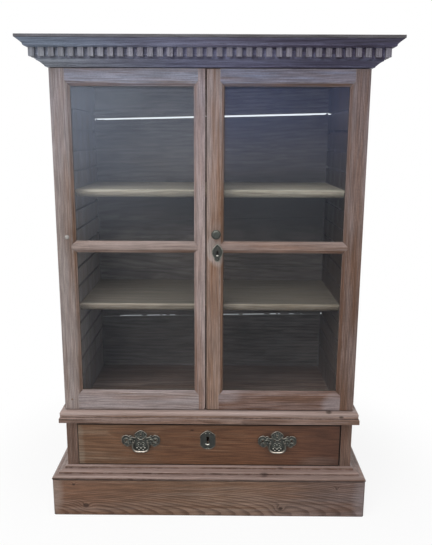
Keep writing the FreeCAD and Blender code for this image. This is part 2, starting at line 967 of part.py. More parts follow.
def make_frame(low_x, high_x, left_width, right_width):
    """Stiles, rails, bar, panes and beads of one door, by role."""
    clear_left = low_x + left_width
    clear_right = high_x - right_width
    inner_left = clear_left - moulding_width
    inner_right = clear_right + moulding_width
    lower, upper = pane_levels()
    lower_edges = moulded_edges(clear_left, clear_right, lower[0], lower[1])
    upper_edges = moulded_edges(clear_left, clear_right, upper[0], upper[1])

    def flat(from_x, to_x, from_z, to_z):
        return box(from_x, to_x, front_y, door_back_y, from_z, to_z)

    parts = {}
    parts["left_stile"] = joined(
        flat(low_x, inner_left, door_bottom, door_top), lower_edges[2], upper_edges[2]
    )
    parts["right_stile"] = joined(
        flat(inner_right, high_x, door_bottom, door_top), lower_edges[3], upper_edges[3]
    )
    parts["bottom_rail"] = joined(
        flat(inner_left, inner_right, door_bottom, lower[0] - moulding_width), lower_edges[0]
    )
    parts["glazing_bar"] = joined(
        flat(inner_left, inner_right, lower[1] + moulding_width, upper[0] - moulding_width),
        lower_edges[1],
        upper_edges[0],
    )
    parts["top_rail"] = joined(
        flat(inner_left, inner_right, upper[1] + moulding_width, door_top), upper_edges[1]
    )
    reach = rebate_width - pane_edge_clearance
    near_y = front_y + rebate_depth
    panes = []
    beads = []
    for low_z, high_z in (lower, upper):
        panes.append(
            box(
                clear_left - reach,
                clear_right + reach,
                near_y,
                near_y + pane_thickness,
                low_z - reach,
                high_z + reach,
            )
        )
        beads.extend(pane_beads(clear_left, clear_right, low_z, high_z))
    parts["panes"] = group(panes)
    parts["beads"] = group(beads)
    return parts


def hinge_cutters():
    """Recesses in a right-hand stile for the leaves and their knuckles."""
    cutters = []
    for level in hinge_levels():
        cutters.append(
            hinge_leaf_box(door_back_y - hinge_leaf_thickness, door_back_y + overrun, level)
        )
        cutters.append(
            knuckle_rod(
                knuckle_notch_radius, level - knuckle_end_gap, hinge_height + 2 * knuckle_end_gap
            )
        )
    return cutters


def door_bolt_box(clearance):
    low_x = meeting_right_x
    front = front_y + door_lock_setback + (door_lock_thickness - door_bolt_thickness) / 2
    low_z = door_plate_z - door_bolt_height / 2
    return box(
        low_x + bolt_end_setback - clearance,
        low_x + bolt_end_setback + door_bolt_length + clearance,
        front - clearance,
        front + door_bolt_thickness + clearance,
        low_z - clearance,
        low_z + door_bolt_height + clearance,
    )


def door_lock_box():
    low_x = meeting_right_x
    near_y = front_y + door_lock_setback
    return box(
        low_x,
        low_x + door_lock_width,
        near_y,
        near_y + door_lock_thickness,
        door_plate_z - door_lock_height / 2,
        door_plate_z + door_lock_height / 2,
    )


def door_lock_channel():
    """Space for the bolt in its case, open at the door's edge."""
    channel = door_bolt_box(bolt_clearance)
    bounds = channel.BoundBox
    return channel.fuse(
        box(
            meeting_right_x - overrun,
            bounds.XMax,
            bounds.YMin,
            bounds.YMax,
            bounds.ZMin,
            bounds.ZMax,
        )
    )


def keyhole(x, z, drop, radius, slot_width, near_y, far_y):
    """Round hole with a slot under it, cut from near_y back to far_y."""
    reach = FreeCAD.Vector(0, far_y - near_y, 0)
    hole = rod(radius, FreeCAD.Vector(x, near_y, z), reach)
    slot = box(x - slot_width / 2, x + slot_width / 2, near_y, far_y, z - drop, z)
    return hole.fuse(slot)


def dome_pin(x, z, radius, height, from_y):
    """Low round head standing out of a surface that faces the front."""
    start = FreeCAD.Vector(x, from_y, z)
    head = rod(radius, start, FreeCAD.Vector(0, -height, 0))
    rim = [edge for edge in head.Edges if edge.BoundBox.YMax < from_y - height / 2]
    return head.makeFillet(height * pin_round_share, rim).Solids[0]


def outlined_plate(shares, centre_x, centre_z, half, rise):
    """Flat plate on a face that looks to the front, from shares of its half width and rise."""
    outline = spread(shares, 0, half, rise)
    face = placed_outline(
        outline, lambda point: FreeCAD.Vector(centre_x + point[0], front_y, centre_z + point[1])
    )
    return face.extrude(FreeCAD.Vector(0, -plate_thickness, 0))


def plate_pins(shares, centre_x, centre_z, rise):
    near = front_y - plate_thickness
    return [
        dome_pin(centre_x, centre_z + share * rise, plate_pin_radius, plate_pin_height, near)
        for share in shares
    ]


def door_escutcheon():
    """Pointed drop-shaped plate with a keyhole and two pins."""
    plate = outlined_plate(
        door_plate_shares, door_plate_x, door_plate_z, door_plate_half, door_plate_rise
    )
    hole = keyhole(
        door_plate_x,
        door_plate_z + door_keyhole_rise,
        door_keyhole_drop,
        door_plate_hole_radius,
        door_plate_slot_width,
        front_y - plate_thickness - overrun,
        front_y + overrun,
    )
    pins = plate_pins(door_plate_pin_shares, door_plate_x, door_plate_z, door_plate_rise)
    return group([plate.cut(hole).Solids[0]] + pins)


def door_knob():
    """Turned knob with its rose and the screw that holds it in the stile."""
    neck_end = knob_rose_thickness + knob_neck_length

    def at(radius, out):
        return FreeCAD.Vector(radius, -out, 0)

    def on_neck(share):
        return at(share[0] * knob_neck_radius, knob_rose_thickness + share[1] * knob_neck_length)

    def on_head(share):
        return at(share[0] * knob_radius, neck_end + share[1] * knob_head_length)

    face = outline_face(
        at(0, -knob_shank_length),
        [
            [at(knob_shank_radius, -knob_shank_length)],
            [at(knob_shank_radius, 0)],
            [at(knob_rose_radius, 0)],
            [at(knob_rose_radius, knob_rose_thickness)],
            [on_neck(knob_neck_shares[0]), on_neck(knob_neck_shares[1])],
            [at(knob_neck_radius, neck_end)],
            [on_head(knob_head_shares[0]), on_head(knob_head_shares[1])],
            [on_head((0, knob_head_shares[1][1]))],
        ],
    )
    knob = face.revolve(FreeCAD.Vector(0, 0, 0), FreeCAD.Vector(0, 1, 0), 360)
    knob.translate(FreeCAD.Vector(knob_x, front_y, knob_z))
    return knob


def stile_screw():
    head = dome_pin(
        stile_screw_x, stile_screw_z, stile_screw_head_radius, stile_screw_head_height, front_y
    )
    shank = rod(
        stile_screw_radius,
        FreeCAD.Vector(stile_screw_x, front_y, stile_screw_z),
        FreeCAD.Vector(0, stile_screw_length, 0),
    )
    return joined(head, shank)


def make_left_door():
    frame = make_frame(
        -half_width, meeting_left_x, outer_stile_width, left_meeting_stile_width
    )
    outer = frame["left_stile"]
    for cutter in hinge_cutters():
        outer = outer.cut(mirrored(cutter))
    screw = stile_screw()
    outer = outer.cut(screw)
    bolt = door_bolt_box(mortise_clearance)
    bounds = bolt.BoundBox
    reach = door_bolt_travel - bolt_end_setback - meeting_gap + mortise_clearance
    mortise = box(
        meeting_left_x - reach,
        meeting_left_x + overrun,
        bounds.YMin,
        bounds.YMax,
        bounds.ZMin,
        bounds.ZMax,
    )
    parts = {}
    parts["door_left_outer_stile"] = outer.Solids[0]
    parts["door_left_meeting_stile"] = worn_corner(
        frame["right_stile"].cut(mortise), meeting_left_x, door_bottom, left_worn_radius
    )
    for role in ("top_rail", "glazing_bar", "bottom_rail", "panes", "beads"):
        parts["door_left_" + role] = frame[role]
    parts["door_left_hinges"] = group([mirrored(door_hinge(level)) for level in hinge_levels()])
    parts["door_left_screw"] = screw
    return parts


def make_right_door():
    frame = make_frame(
        meeting_right_x, half_width, right_meeting_stile_width, outer_stile_width
    )
    outer = frame["right_stile"]
    for cutter in hinge_cutters():
        outer = outer.cut(cutter)
    knob = door_knob()
    channel = door_lock_channel()
    hole = keyhole(
        door_plate_x,
        door_plate_z + door_keyhole_rise,
        door_keyhole_drop,
        door_keyhole_radius,
        door_keyhole_slot_width,
        front_y - overrun,
        channel.BoundBox.YMin + door_bolt_thickness / 2,
    )
    meeting = frame["left_stile"].cut(knob).cut(door_lock_box()).cut(hole)
    parts = {}
    parts["door_right_meeting_stile"] = worn_corner(
        meeting, meeting_right_x, door_bottom, right_worn_radius
    )
    parts["door_right_outer_stile"] = outer.Solids[0]
    for role in ("top_rail", "glazing_bar", "bottom_rail", "panes", "beads"):
        parts["door_right_" + role] = frame[role]
    parts["door_right_hinges"] = group([door_hinge(level) for level in hinge_levels()])
    parts["door_right_knob"] = knob
    parts["door_right_escutcheon"] = door_escutcheon()
    parts["door_right_lock"] = door_lock_box().cut(channel).cut(hole).Solids[0]
    parts["door_bolt"] = door_bolt_box(0)
    return parts


def handle_plate():
    """Pierced and lobed back plate, centred between its posts."""
    right = handle_shares
    left = []
    for number in range(len(right) - 1, 0, -1):
        middle = right[number][0]
        end = right[number - 1][-1]
        left.append(((-middle[0], middle[1]), (-end[0], end[1])))
    plate = outlined_plate(
        right + tuple(left), 0, handle_z, handle_plate_half, handle_plate_rise
    )
    reach = FreeCAD.Vector(0, -plate_thickness - 2 * overrun, 0)
    for out, up in handle_hole_shares:
        for side in (-1, 1):
            x = side * out * handle_plate_half
            start = FreeCAD.Vector(x, front_y + overrun, handle_z + up * handle_plate_rise)
            plate = plate.cut(rod(handle_hole_radius, start, reach))
    return plate.Solids[0]


def handle_post(x):
    """Ball-headed post with its shank through the drawer front, bored for the bail."""
    axis_y = front_y - handle_axis_stand
    ball = Part.makeSphere(handle_ball_radius, FreeCAD.Vector(x, axis_y, handle_z))
    neck = rod(
        handle_neck_radius,
        FreeCAD.Vector(x, front_y - plate_thickness, handle_z),
        FreeCAD.Vector(0, plate_thickness - handle_axis_stand, 0),
    )
    shank = rod(
        handle_shank_radius,
        FreeCAD.Vector(x, front_y - plate_thickness, handle_z),
        FreeCAD.Vector(0, plate_thickness + drawer_front_thickness + handle_nut_height, 0),
    )
    post = joined(ball, neck, shank)
    bore = rod(
        bail_pin_radius + bail_pin_clearance,
        FreeCAD.Vector(x - handle_ball_radius - overrun, axis_y, handle_z),
        FreeCAD.Vector(2 * handle_ball_radius + 2 * overrun, 0, 0),
    )
    return post.cut(bore).Solids[0]


def handle_nut(x):
    start = FreeCAD.Vector(x, front_y + drawer_front_thickness, handle_z)
    reach = FreeCAD.Vector(0, handle_nut_height, 0)
    return rod(handle_nut_radius, start, reach).cut(rod(handle_shank_radius, start, reach))


def make_bail():
    """Hanging bail, centred on the handle, with a pin at each end."""
    axis_y = front_y - handle_axis_stand

    def at(share, side):
        return FreeCAD.Vector(
            side * share[0] * bail_top_half, axis_y, handle_z - share[1] * bail_drop
        )

    points = [at((1, 0), -1)]
    points += [at(share, -1) for share in bail_shares]
    points.append(at((0, 1), 1))
    points += [at(share, 1) for share in reversed(bail_shares)]
    points.append(at((1, 0), 1))
    curve = Part.BSplineCurve()
    curve.interpolate(points)
    path = Part.Wire([curve.toShape()])
    start = curve.value(curve.FirstParameter)
    along = curve.tangent(curve.FirstParameter)[0]
    ring = Part.Wire([Part.makeCircle(bail_radius, start, along)])
    bail = path.makePipeShell([ring], True, False)
    pin_end = handle_post_spacing / 2 + handle_ball_radius
    for side in (-1, 1):
        top = at((1, 0), side)
        bail = bail.fuse(Part.makeSphere(bail_radius, top))
        bail = bail.fuse(
            rod(bail_pin_radius, top, FreeCAD.Vector(side * (pin_end - bail_top_half), 0, 0))
        )
    return bail.Solids[0]


def drawer_escutcheon():
    """Shield-shaped plate with an arched head, a keyhole and pins."""
    plate = outlined_plate(
        drawer_plate_shares, drawer_lock_x, drawer_plate_z, drawer_plate_half, drawer_plate_rise
    )
    hole = keyhole(
        drawer_lock_x,
        drawer_plate_z + drawer_keyhole_rise,
        drawer_keyhole_drop + drawer_plate_hole_radius,
        drawer_plate_hole_radius,
        drawer_plate_slot_width,
        front_y - plate_thickness - overrun,
        front_y + overrun,
    )
    pins = plate_pins(drawer_plate_pin_shares, drawer_lock_x, drawer_plate_z, drawer_plate_rise)
    return group([plate.cut(hole).Solids[0]] + pins)


def drawer_channel():
    """Space for the drawer bolt in its case, open at the top."""
    bolt_front, bolt_back = drawer_bolt_y()
    top = opening_top - drawer_head_gap
    return box(
        drawer_lock_x - drawer_bolt_half - bolt_clearance,
        drawer_lock_x + drawer_bolt_half + bolt_clearance,
        bolt_front - bolt_clearance,
        bolt_back + bolt_clearance,
        top - drawer_channel_depth,
        top + overrun,
    )


def make_drawer():
    parts = {}
    aside = FreeCAD.Vector(drawer_offset, 0, 0)
    top = opening_top - drawer_head_gap
    front_half = opening_half - drawer_side_gap
    front_back_y = front_y + drawer_front_thickness
    front = box(
        -front_half, front_half, front_y, front_back_y, opening_bottom + drawer_foot_gap, top
    )
    lock_box = box(
        drawer_lock_x - drawer_lock_half,
        drawer_lock_x + drawer_lock_half,
        front_back_y - drawer_lock_thickness,
        front_back_y,
        top - drawer_lock_height,
        top,
    )
    hole = keyhole(
        drawer_lock_x,
        drawer_plate_z + drawer_keyhole_rise,
        drawer_keyhole_drop,
        drawer_keyhole_radius,
        drawer_keyhole_slot_width,
        front_y - overrun,
        drawer_bolt_y()[0] + drawer_bolt_setback / 2,
    )
    front = front.translated(aside).cut(lock_box).cut(hole)
    posts = []
    plates = []
    for centre in (-handle_x, handle_x):
        plate = handle_plate()
        plate.translate(FreeCAD.Vector(centre, 0, 0))
        for x in (centre - handle_post_spacing / 2, centre + handle_post_spacing / 2):
            post = handle_post(x)
            nut = handle_nut(x)
            plate = plate.cut(post)
            front = front.cut(post)
            posts.extend([post, nut])
        plates.append(plate.Solids[0])
    parts["drawer_front"] = front.Solids[0]
    parts["handle_plates"] = group(plates)
    parts["handle_posts"] = group([shape.Solids[0] for shape in posts])
    bail = make_bail()
    for name, centre in (("bail_left", -handle_x), ("bail_right", handle_x)):
        parts[name] = bail.translated(FreeCAD.Vector(centre, 0, 0))
    parts["drawer_escutcheon"] = drawer_escutcheon()
    parts["drawer_lock"] = lock_box.cut(drawer_channel()).cut(hole).Solids[0]

    outer = front_half - drawer_box_inset
    inner = outer - drawer_side_thickness
    foot = opening_bottom + drawer_run_clearance
    back = rear_y - pedestal_back_thickness - drawer_back_clearance
    side = box(inner, outer, front_back_y, back, foot, foot + drawer_side_height)
    parts["drawer_sides"] = group([side, mirrored(side)]).translated(aside)
    board_z = foot + drawer_bottom_rise
    board_top = board_z + drawer_bottom_thickness
    board = box(-inner, inner, front_back_y, back, board_z, board_top)
    parts["drawer_bottom"] = board.translated(aside)
    end_y = back - drawer_side_thickness
    end = box(-inner, inner, end_y, back, board_top, board_top + drawer_back_height)
    parts["drawer_back"] = end.translated(aside)
    bolt_front, bolt_back = drawer_bolt_y()
    bolt_top = top - drawer_bolt_rest_drop
    parts["drawer_bolt"] = box(
        drawer_lock_x - drawer_bolt_half,
        drawer_lock_x + drawer_bolt_half,
        bolt_front,
        bolt_back,
        bolt_top - drawer_bolt_length,
        bolt_top,
    )
    return parts


def main():
    os.makedirs("parts", exist_ok=True)
    parts = {}
    parts.update(make_cornice())
    parts.update(make_upper_cabinet())
    parts.update(make_waist())
    parts.update(make_pedestal())
    parts.update(make_base())
    parts.update(make_left_door())
    parts.update(make_right_door())
    parts.update(make_drawer())
    for name, shape in parts.items():
        shape.exportStep(os.path.join("parts", name + ".step"))


main()
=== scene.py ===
"""Looks of the glazed pine cabinet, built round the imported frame.

Metres. +Z is up and the front faces -Y, as in the frame.
"""

from collections import namedtuple
import math

import bmesh
import bpy
from mathutils import Matrix, Vector


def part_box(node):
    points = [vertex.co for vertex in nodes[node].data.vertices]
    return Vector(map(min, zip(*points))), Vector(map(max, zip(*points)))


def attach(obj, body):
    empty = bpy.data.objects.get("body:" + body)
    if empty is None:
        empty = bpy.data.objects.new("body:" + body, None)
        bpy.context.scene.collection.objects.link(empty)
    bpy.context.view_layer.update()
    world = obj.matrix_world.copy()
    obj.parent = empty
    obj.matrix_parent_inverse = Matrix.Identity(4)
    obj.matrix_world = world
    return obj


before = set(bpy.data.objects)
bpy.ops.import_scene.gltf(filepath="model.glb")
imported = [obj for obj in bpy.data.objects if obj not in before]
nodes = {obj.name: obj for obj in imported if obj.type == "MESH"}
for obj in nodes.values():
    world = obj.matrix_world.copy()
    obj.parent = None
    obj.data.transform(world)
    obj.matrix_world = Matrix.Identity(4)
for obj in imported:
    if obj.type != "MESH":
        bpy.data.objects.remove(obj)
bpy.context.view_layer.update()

# the back boards: foot, height and width of the back, the lowest joint and the step from joint
# to joint as shares of the height, and how far the lowest joint climbs to the right and how much
# more each next one does. The lowest and the highest joint stand open.
BACK_FOOT, BACK_HEIGHT, BACK_WIDTH = 0.344, 1.106, 0.837
FIRST_JOINT, JOINT_STEP = 0.18, 0.162
FIRST_CLIMB, MORE_CLIMB = 0.014, 0.0022
OPEN_JOINTS = (0, 4)
HALF_OPEN, HALF_SHUT = 0.003, 0.0004

# the same boards as their material counts them: rows of one height that climb to the right
BOARD_ROW, ROW_CLIMB, ROW_SHIFT, LOWEST_ROW = 0.17917, 0.0217, 0.0352, 2.0

# of two pieces in one node, the middle of the right one as a share of its far side
PAIR_MIDDLE = 0.96

PLAIN = (1, 1, 1)


# shader helpers

class Tree:
    """Adds shader nodes to a material or a world and links them."""

    def __init__(self, owner):
        owner.use_nodes = True
        self.owner = owner
        self.tree = owner.node_tree
        self.tree.nodes.clear()

    def add(self, kind, **settings):
        node = self.tree.nodes.new("ShaderNode" + kind)
        for key, value in settings.items():
            setattr(node, key, value)
        return node

    def put(self, node, socket, value):
        """Links a socket, or sets it where the value is a plain number or colour."""
        target = node.inputs[socket]
        if isinstance(value, bpy.types.NodeSocket):
            self.tree.links.new(value, target)
        elif target.type == "RGBA" and len(value) == 3:
            target.default_value = (*value, 1)
        else:
            target.default_value = value

    def put_all(self, node, *values):
        """Fills the first sockets of a node, and returns its first result."""
        for number, value in enumerate(values):
            self.put(node, number, value)
        return node.outputs[0]

    def place(self):
        return self.add("TexCoord").outputs["Object"]

    def facing(self):
        """The way that a face looks, as x, y and z."""
        return self.split(self.add("TexCoord").outputs["Normal"])

    def split(self, vector):
        node = self.add("SeparateXYZ")
        self.put(node, 0, vector)
        return node.outputs[0], node.outputs[1], node.outputs[2]

    def combine(self, x, y, z):
        return self.put_all(self.add("CombineXYZ"), x, y, z)

    def math(self, operation, *values):
        return self.put_all(self.add("Math", operation=operation), *values)

    def times(self, a, b):
        return self.math("MULTIPLY", a, b)

    def times_plus(self, a, b, c):
        return self.math("MULTIPLY_ADD", a, b, c)

    def step(self, value, low, high, to_low=0.0, to_high=1.0):
        """Smooth step from to_low at low to to_high at high."""
        node = self.add("MapRange", interpolation_type="SMOOTHSTEP")
        return self.put_all(node, value, low, high, to_low, to_high)

    def noise(self, vector, scale=1.0, detail=2.0, rough=0.5):
        node = self.add("TexNoise")
        self.put(node, "Vector", vector)
        self.put(node, "Scale", scale)
        self.put(node, "Detail", detail)
        self.put(node, "Roughness", rough)
        return node.outputs["Fac"]

    def mix(self, share, a, b, blend="MIX"):
        """Mixes two colours. They go to sockets 6 and 7, and the mixed one is output 2."""
        node = self.add("Mix", data_type="RGBA", blend_type=blend)
        self.put(node, 0, share)
        self.put(node, 6, a)
        self.put(node, 7, b)
        return node.outputs[2]

    def layer(self, share, below, above):
        return self.put_all(self.add("MixShader"), share, below, above)

    def bump(self, height, strength, distance):
        node = self.add("Bump")
        self.put(node, "Strength", strength)
        self.put(node, "Distance", distance)
        self.put(node, "Height", height)
        return node.outputs[0]

    def finish(self, shader, output="OutputMaterial"):
        self.put(self.add(output), "Surface", shader)
        return self.owner


def material_tree(name):
    return Tree(bpy.data.materials.new(name))


def shaded(colour, share):
    return tuple(share * part for part in colour)


def seed_of(name):
    """A fixed offset for each name, so that no two boards share their grain."""
    total = 0
    for place, letter in enumerate(name):
        total += (place + 3) * ord(letter)
    return total % 97 * 0.731


def ellipse(t, across, up, centre, reach):
    """0 at the middle of an ellipse, 1 on its rim and more outside."""
    du = t.math("DIVIDE", t.math("SUBTRACT", across, centre[0]), reach[0])
    dv = t.math("DIVIDE", t.math("SUBTRACT", up, centre[1]), reach[1])
    return t.math("ADD", t.times(du, du), t.times(dv, dv))


def fall_off(t, across, up, centre, reach):
    """1 at the middle of an ellipse, falling to 0 at its rim."""
    return t.step(ellipse(t, across, up, centre, reach), 0.0, 1.0, 1.0, 0.0)


def edge_turn(t, radius):
    """1 on a rounded edge, 0 on a flat face."""
    rounded = t.add("Bevel", samples=4)
    t.put(rounded, "Radius", radius)
    turn = t.add("VectorMath", operation="DOT_PRODUCT")
    t.put_all(turn, rounded.outputs[0], t.add("NewGeometry").outputs["Normal"])
    return t.step(turn.outputs["Value"], 0.80, 0.985, 1.0, 0.0)


# wood

# bare: sound wood. late: the dark line of each ring. lime: what covers it. cover: how much of the
# surface the lime still covers at the left end and at the right end of the cabinet.
Look = namedtuple("Look", "bare late lime cover rough")
DOOR = Look((0.205, 0.118, 0.076), (0.100, 0.050, 0.030), (0.318, 0.276, 0.266), (0.90, 0.40), 0.46)
WAIST = Look((0.190, 0.112, 0.080), (0.085, 0.046, 0.030), (0.345, 0.268, 0.245), (0.20, 0.20), 0.40)
BASE = Look((0.150, 0.083, 0.060), (0.066, 0.034, 0.024), (0.320, 0.240, 0.215), (0.14, 0.10), 0.42)
DRAWER = Look((0.136, 0.062, 0.034), (0.062, 0.026, 0.014), (0.205, 0.155, 0.128), (0.20, -0.10), 0.38)
POST = Look((0.140, 0.078, 0.055), (0.066, 0.032, 0.021), (0.215, 0.175, 0.165), (0.30, 0.40), 0.45)
PLINTH = Look((0.172, 0.098, 0.062), (0.066, 0.032, 0.020), (0.250, 0.205, 0.185), (0.16, 0.26), 0.43)
# CROWN, used round the cornice, is darker and bluer than the other looks: painted shade on its
# downward-facing faces and a painted cold sky reflection
CROWN = Look((0.085, 0.078, 0.110), (0.050, 0.043, 0.060), (0.185, 0.205, 0.262), (0.95, 0.10), 0.50)
DENTIL = Look((0.135, 0.120, 0.135), (0.070, 0.060, 0.070), (0.250, 0.245, 0.270), (0.90, 0.45), 0.50)
CAP = Look((0.100, 0.087, 0.083), (0.060, 0.050, 0.048), (0.138, 0.136, 0.146), (0.60, 0.35), 0.50)
RAW = Look((0.300, 0.205, 0.118), (0.165, 0.096, 0.048), (0.270, 0.225, 0.170), (0.30, 0.30), 0.62)
INNER = Look((0.125, 0.084, 0.060), (0.044, 0.027, 0.018), (0.140, 0.112, 0.092), (0.20, 0.10), 0.58)
BACK = Look((0.250, 0.205, 0.180), (0.140, 0.112, 0.098), (0.290, 0.255, 0.235), (0.20, 0.10), 0.58)
SHELF = Look((0.440, 0.345, 0.230), (0.270, 0.190, 0.115), (0.560, 0.480, 0.370), (0.60, 0.45), 0.50)

# the painted cold sky sheen on the lime higher up, as shares of red, green and blue
COLD = (0.76, 0.93, 1.26)


class Board:
    """The sockets that a piece's wood is drawn from.

    x, y and z are the place. u runs along the grain, v across the board and w through it.
    along is u, and moved the whole place, shifted so that no two boards share their grain.
    """

    def __init__(self, name, grain, across, pairs, rows):
        t = material_tree(name)
        self.t = t
        self.x, self.y, self.z = t.split(t.place())
        self.low, self.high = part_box(name)
        axes = {"x": self.x, "y": self.y, "z": self.z}
        behind = ({"x", "y", "z"} - {grain, across}).pop()
        middle = {axis: (a + b) / 2 for axis, a, b in zip("xyz", self.low, self.high)}
        seed = seed_of(name)
        self.offset = seed
        self.u = axes[grain]
        if pairs:
            middle["x"] = self.high[0] * PAIR_MIDDLE
            axes["x"] = t.math("ABSOLUTE", self.x)
            self.offset = t.times_plus(t.math("SIGN", self.x), 1.37, seed)
        self.v, self.w = axes[across], axes[behind]
        self.middle_v, self.middle_w = middle[across], middle[behind]
        if rows:
            level = t.times_plus(self.x, -ROW_CLIMB, self.z)
            count = t.math("FLOOR", t.times_plus(level, 1 / BOARD_ROW, -ROW_SHIFT))
            row = t.math("MAXIMUM", count, LOWEST_ROW)
            self.offset = t.times_plus(row, 2.9, seed)
            lots = t.noise(t.combine(t.times(row, 7.7), 0.5, seed), 1.0, 0.0)
            self.row_tone = t.step(lots, 0.3, 0.7, 0.72, 1.22)
        self.along = t.math("ADD", self.u, self.offset)
        self.moved = t.combine(self.along, self.v, t.math("ADD", self.w, self.offset))

    def grain_noise(self, length, width, depth, detail, rough=0.5):
        """Noise drawn out along the grain."""
        t = self.t
        drawn = t.combine(t.times(self.along, length), t.times(self.v, width), t.times(self.w, depth))
        return t.noise(drawn, 1.0, detail, rough)

    def spot(self, centre, reach):
        return fall_off(self.t, self.x, self.z, centre, reach)

    def ring_lines(self, spacing, pith, taper, wander, sway, knots):
        """The dark line of each ring, and the knots, which the rings bend round."""
        t = self.t
        drift = t.noise(t.combine(t.times(self.along, 1.7), self.offset, 0.5), 1.0, 1.0)
        drift = t.times_plus(drift, wander, -wander / 2)
        aside = t.math("SUBTRACT", t.math("SUBTRACT", self.v, self.middle_v + pith[0]), drift)
        deep = t.times_plus(self.u, taper, t.math("SUBTRACT", self.w, self.middle_w + pith[1]))
        radius = t.math("SQRT", t.math("ADD", t.times(aside, aside), t.times(deep, deep)))
        swing = t.noise(t.combine(t.times(self.u, 3.0), t.times(self.v, 16.0), self.offset), 1.0, 2.0)
        ring = t.times_plus(swing, sway, t.math("DIVIDE", radius, spacing))
        knot = 0.0
        for knot_u, knot_v, size in knots:
            square = ellipse(t, self.u, self.v, (knot_u, knot_v), (size * 1.35, size))
            ring = t.math("ADD", ring, t.math("DIVIDE", 2.4, t.times_plus(square, 0.35, 1.0)))
            knot = t.math("MAXIMUM", knot, t.step(square, 0.35, 1.3, 1.0, 0.0))
        phase = t.math("FRACT", ring)
        late = t.times(t.step(phase, 0.30, 0.85), t.step(phase, 0.92, 1.0, 1.0, 0.0))
        return late, knot

    def lime_cover(self, ends, worn, limed, patch, shy, facing, late, streak, broad):
        """How much lime is left at each place, worn through in streaks and patches."""
        t = self.t
        cover = t.step(self.x, -0.5, 0.5, *ends)
        for centre, reach, amount in worn:
            cover = t.times_plus(self.spot(centre, reach), -amount, cover)
        for centre, reach, amount in limed:
            cover = t.times_plus(self.spot(centre, reach), amount, cover)
        cover = t.times_plus(t.math("SUBTRACT", broad, 0.5), patch, cover)
        cover = t.times_plus(t.math("SUBTRACT", streak, 0.5), -0.9, cover)
        cover = t.times_plus(late, -0.16, cover)
        # faces turned aside or down lose lime and so come out darker: painted shade
        if shy:
            aside = t.step(t.math("ABSOLUTE", facing[0]), 0.25, 0.60, 0.0, 0.8)
            under = t.step(facing[2], -0.60, -0.20, 1.0, 0.0)
            cover = t.times_plus(t.math("MAXIMUM", aside, under), -shy, cover)
        return t.math("MINIMUM", t.math("MAXIMUM", cover, 0.03), 0.97)

    def tone(self, tones):
        """One tint, or three that blend from the left over the middle to the right."""
        t = self.t
        if len(tones) == 1:
            return tones[0]
        left_half = t.mix(t.step(self.x, -0.50, 0.0), tones[0], tones[1])
        return t.mix(t.step(self.x, 0.0, 0.50), left_half, tones[2])

    def inside(self):
        """How far a place lies inside the piece's outline, seen from the front."""
        t = self.t
        gaps = []
        for place, low, high in ((self.x, self.low[0], self.high[0]), (self.z, self.low[2], self.high[2])):
            gaps.append(t.math("SUBTRACT", place, low))
            gaps.append(t.math("SUBTRACT", high, place))
        nearest = gaps[0]
        for gap in gaps[1:]:
            nearest = t.math("MINIMUM", nearest, gap)
        return nearest


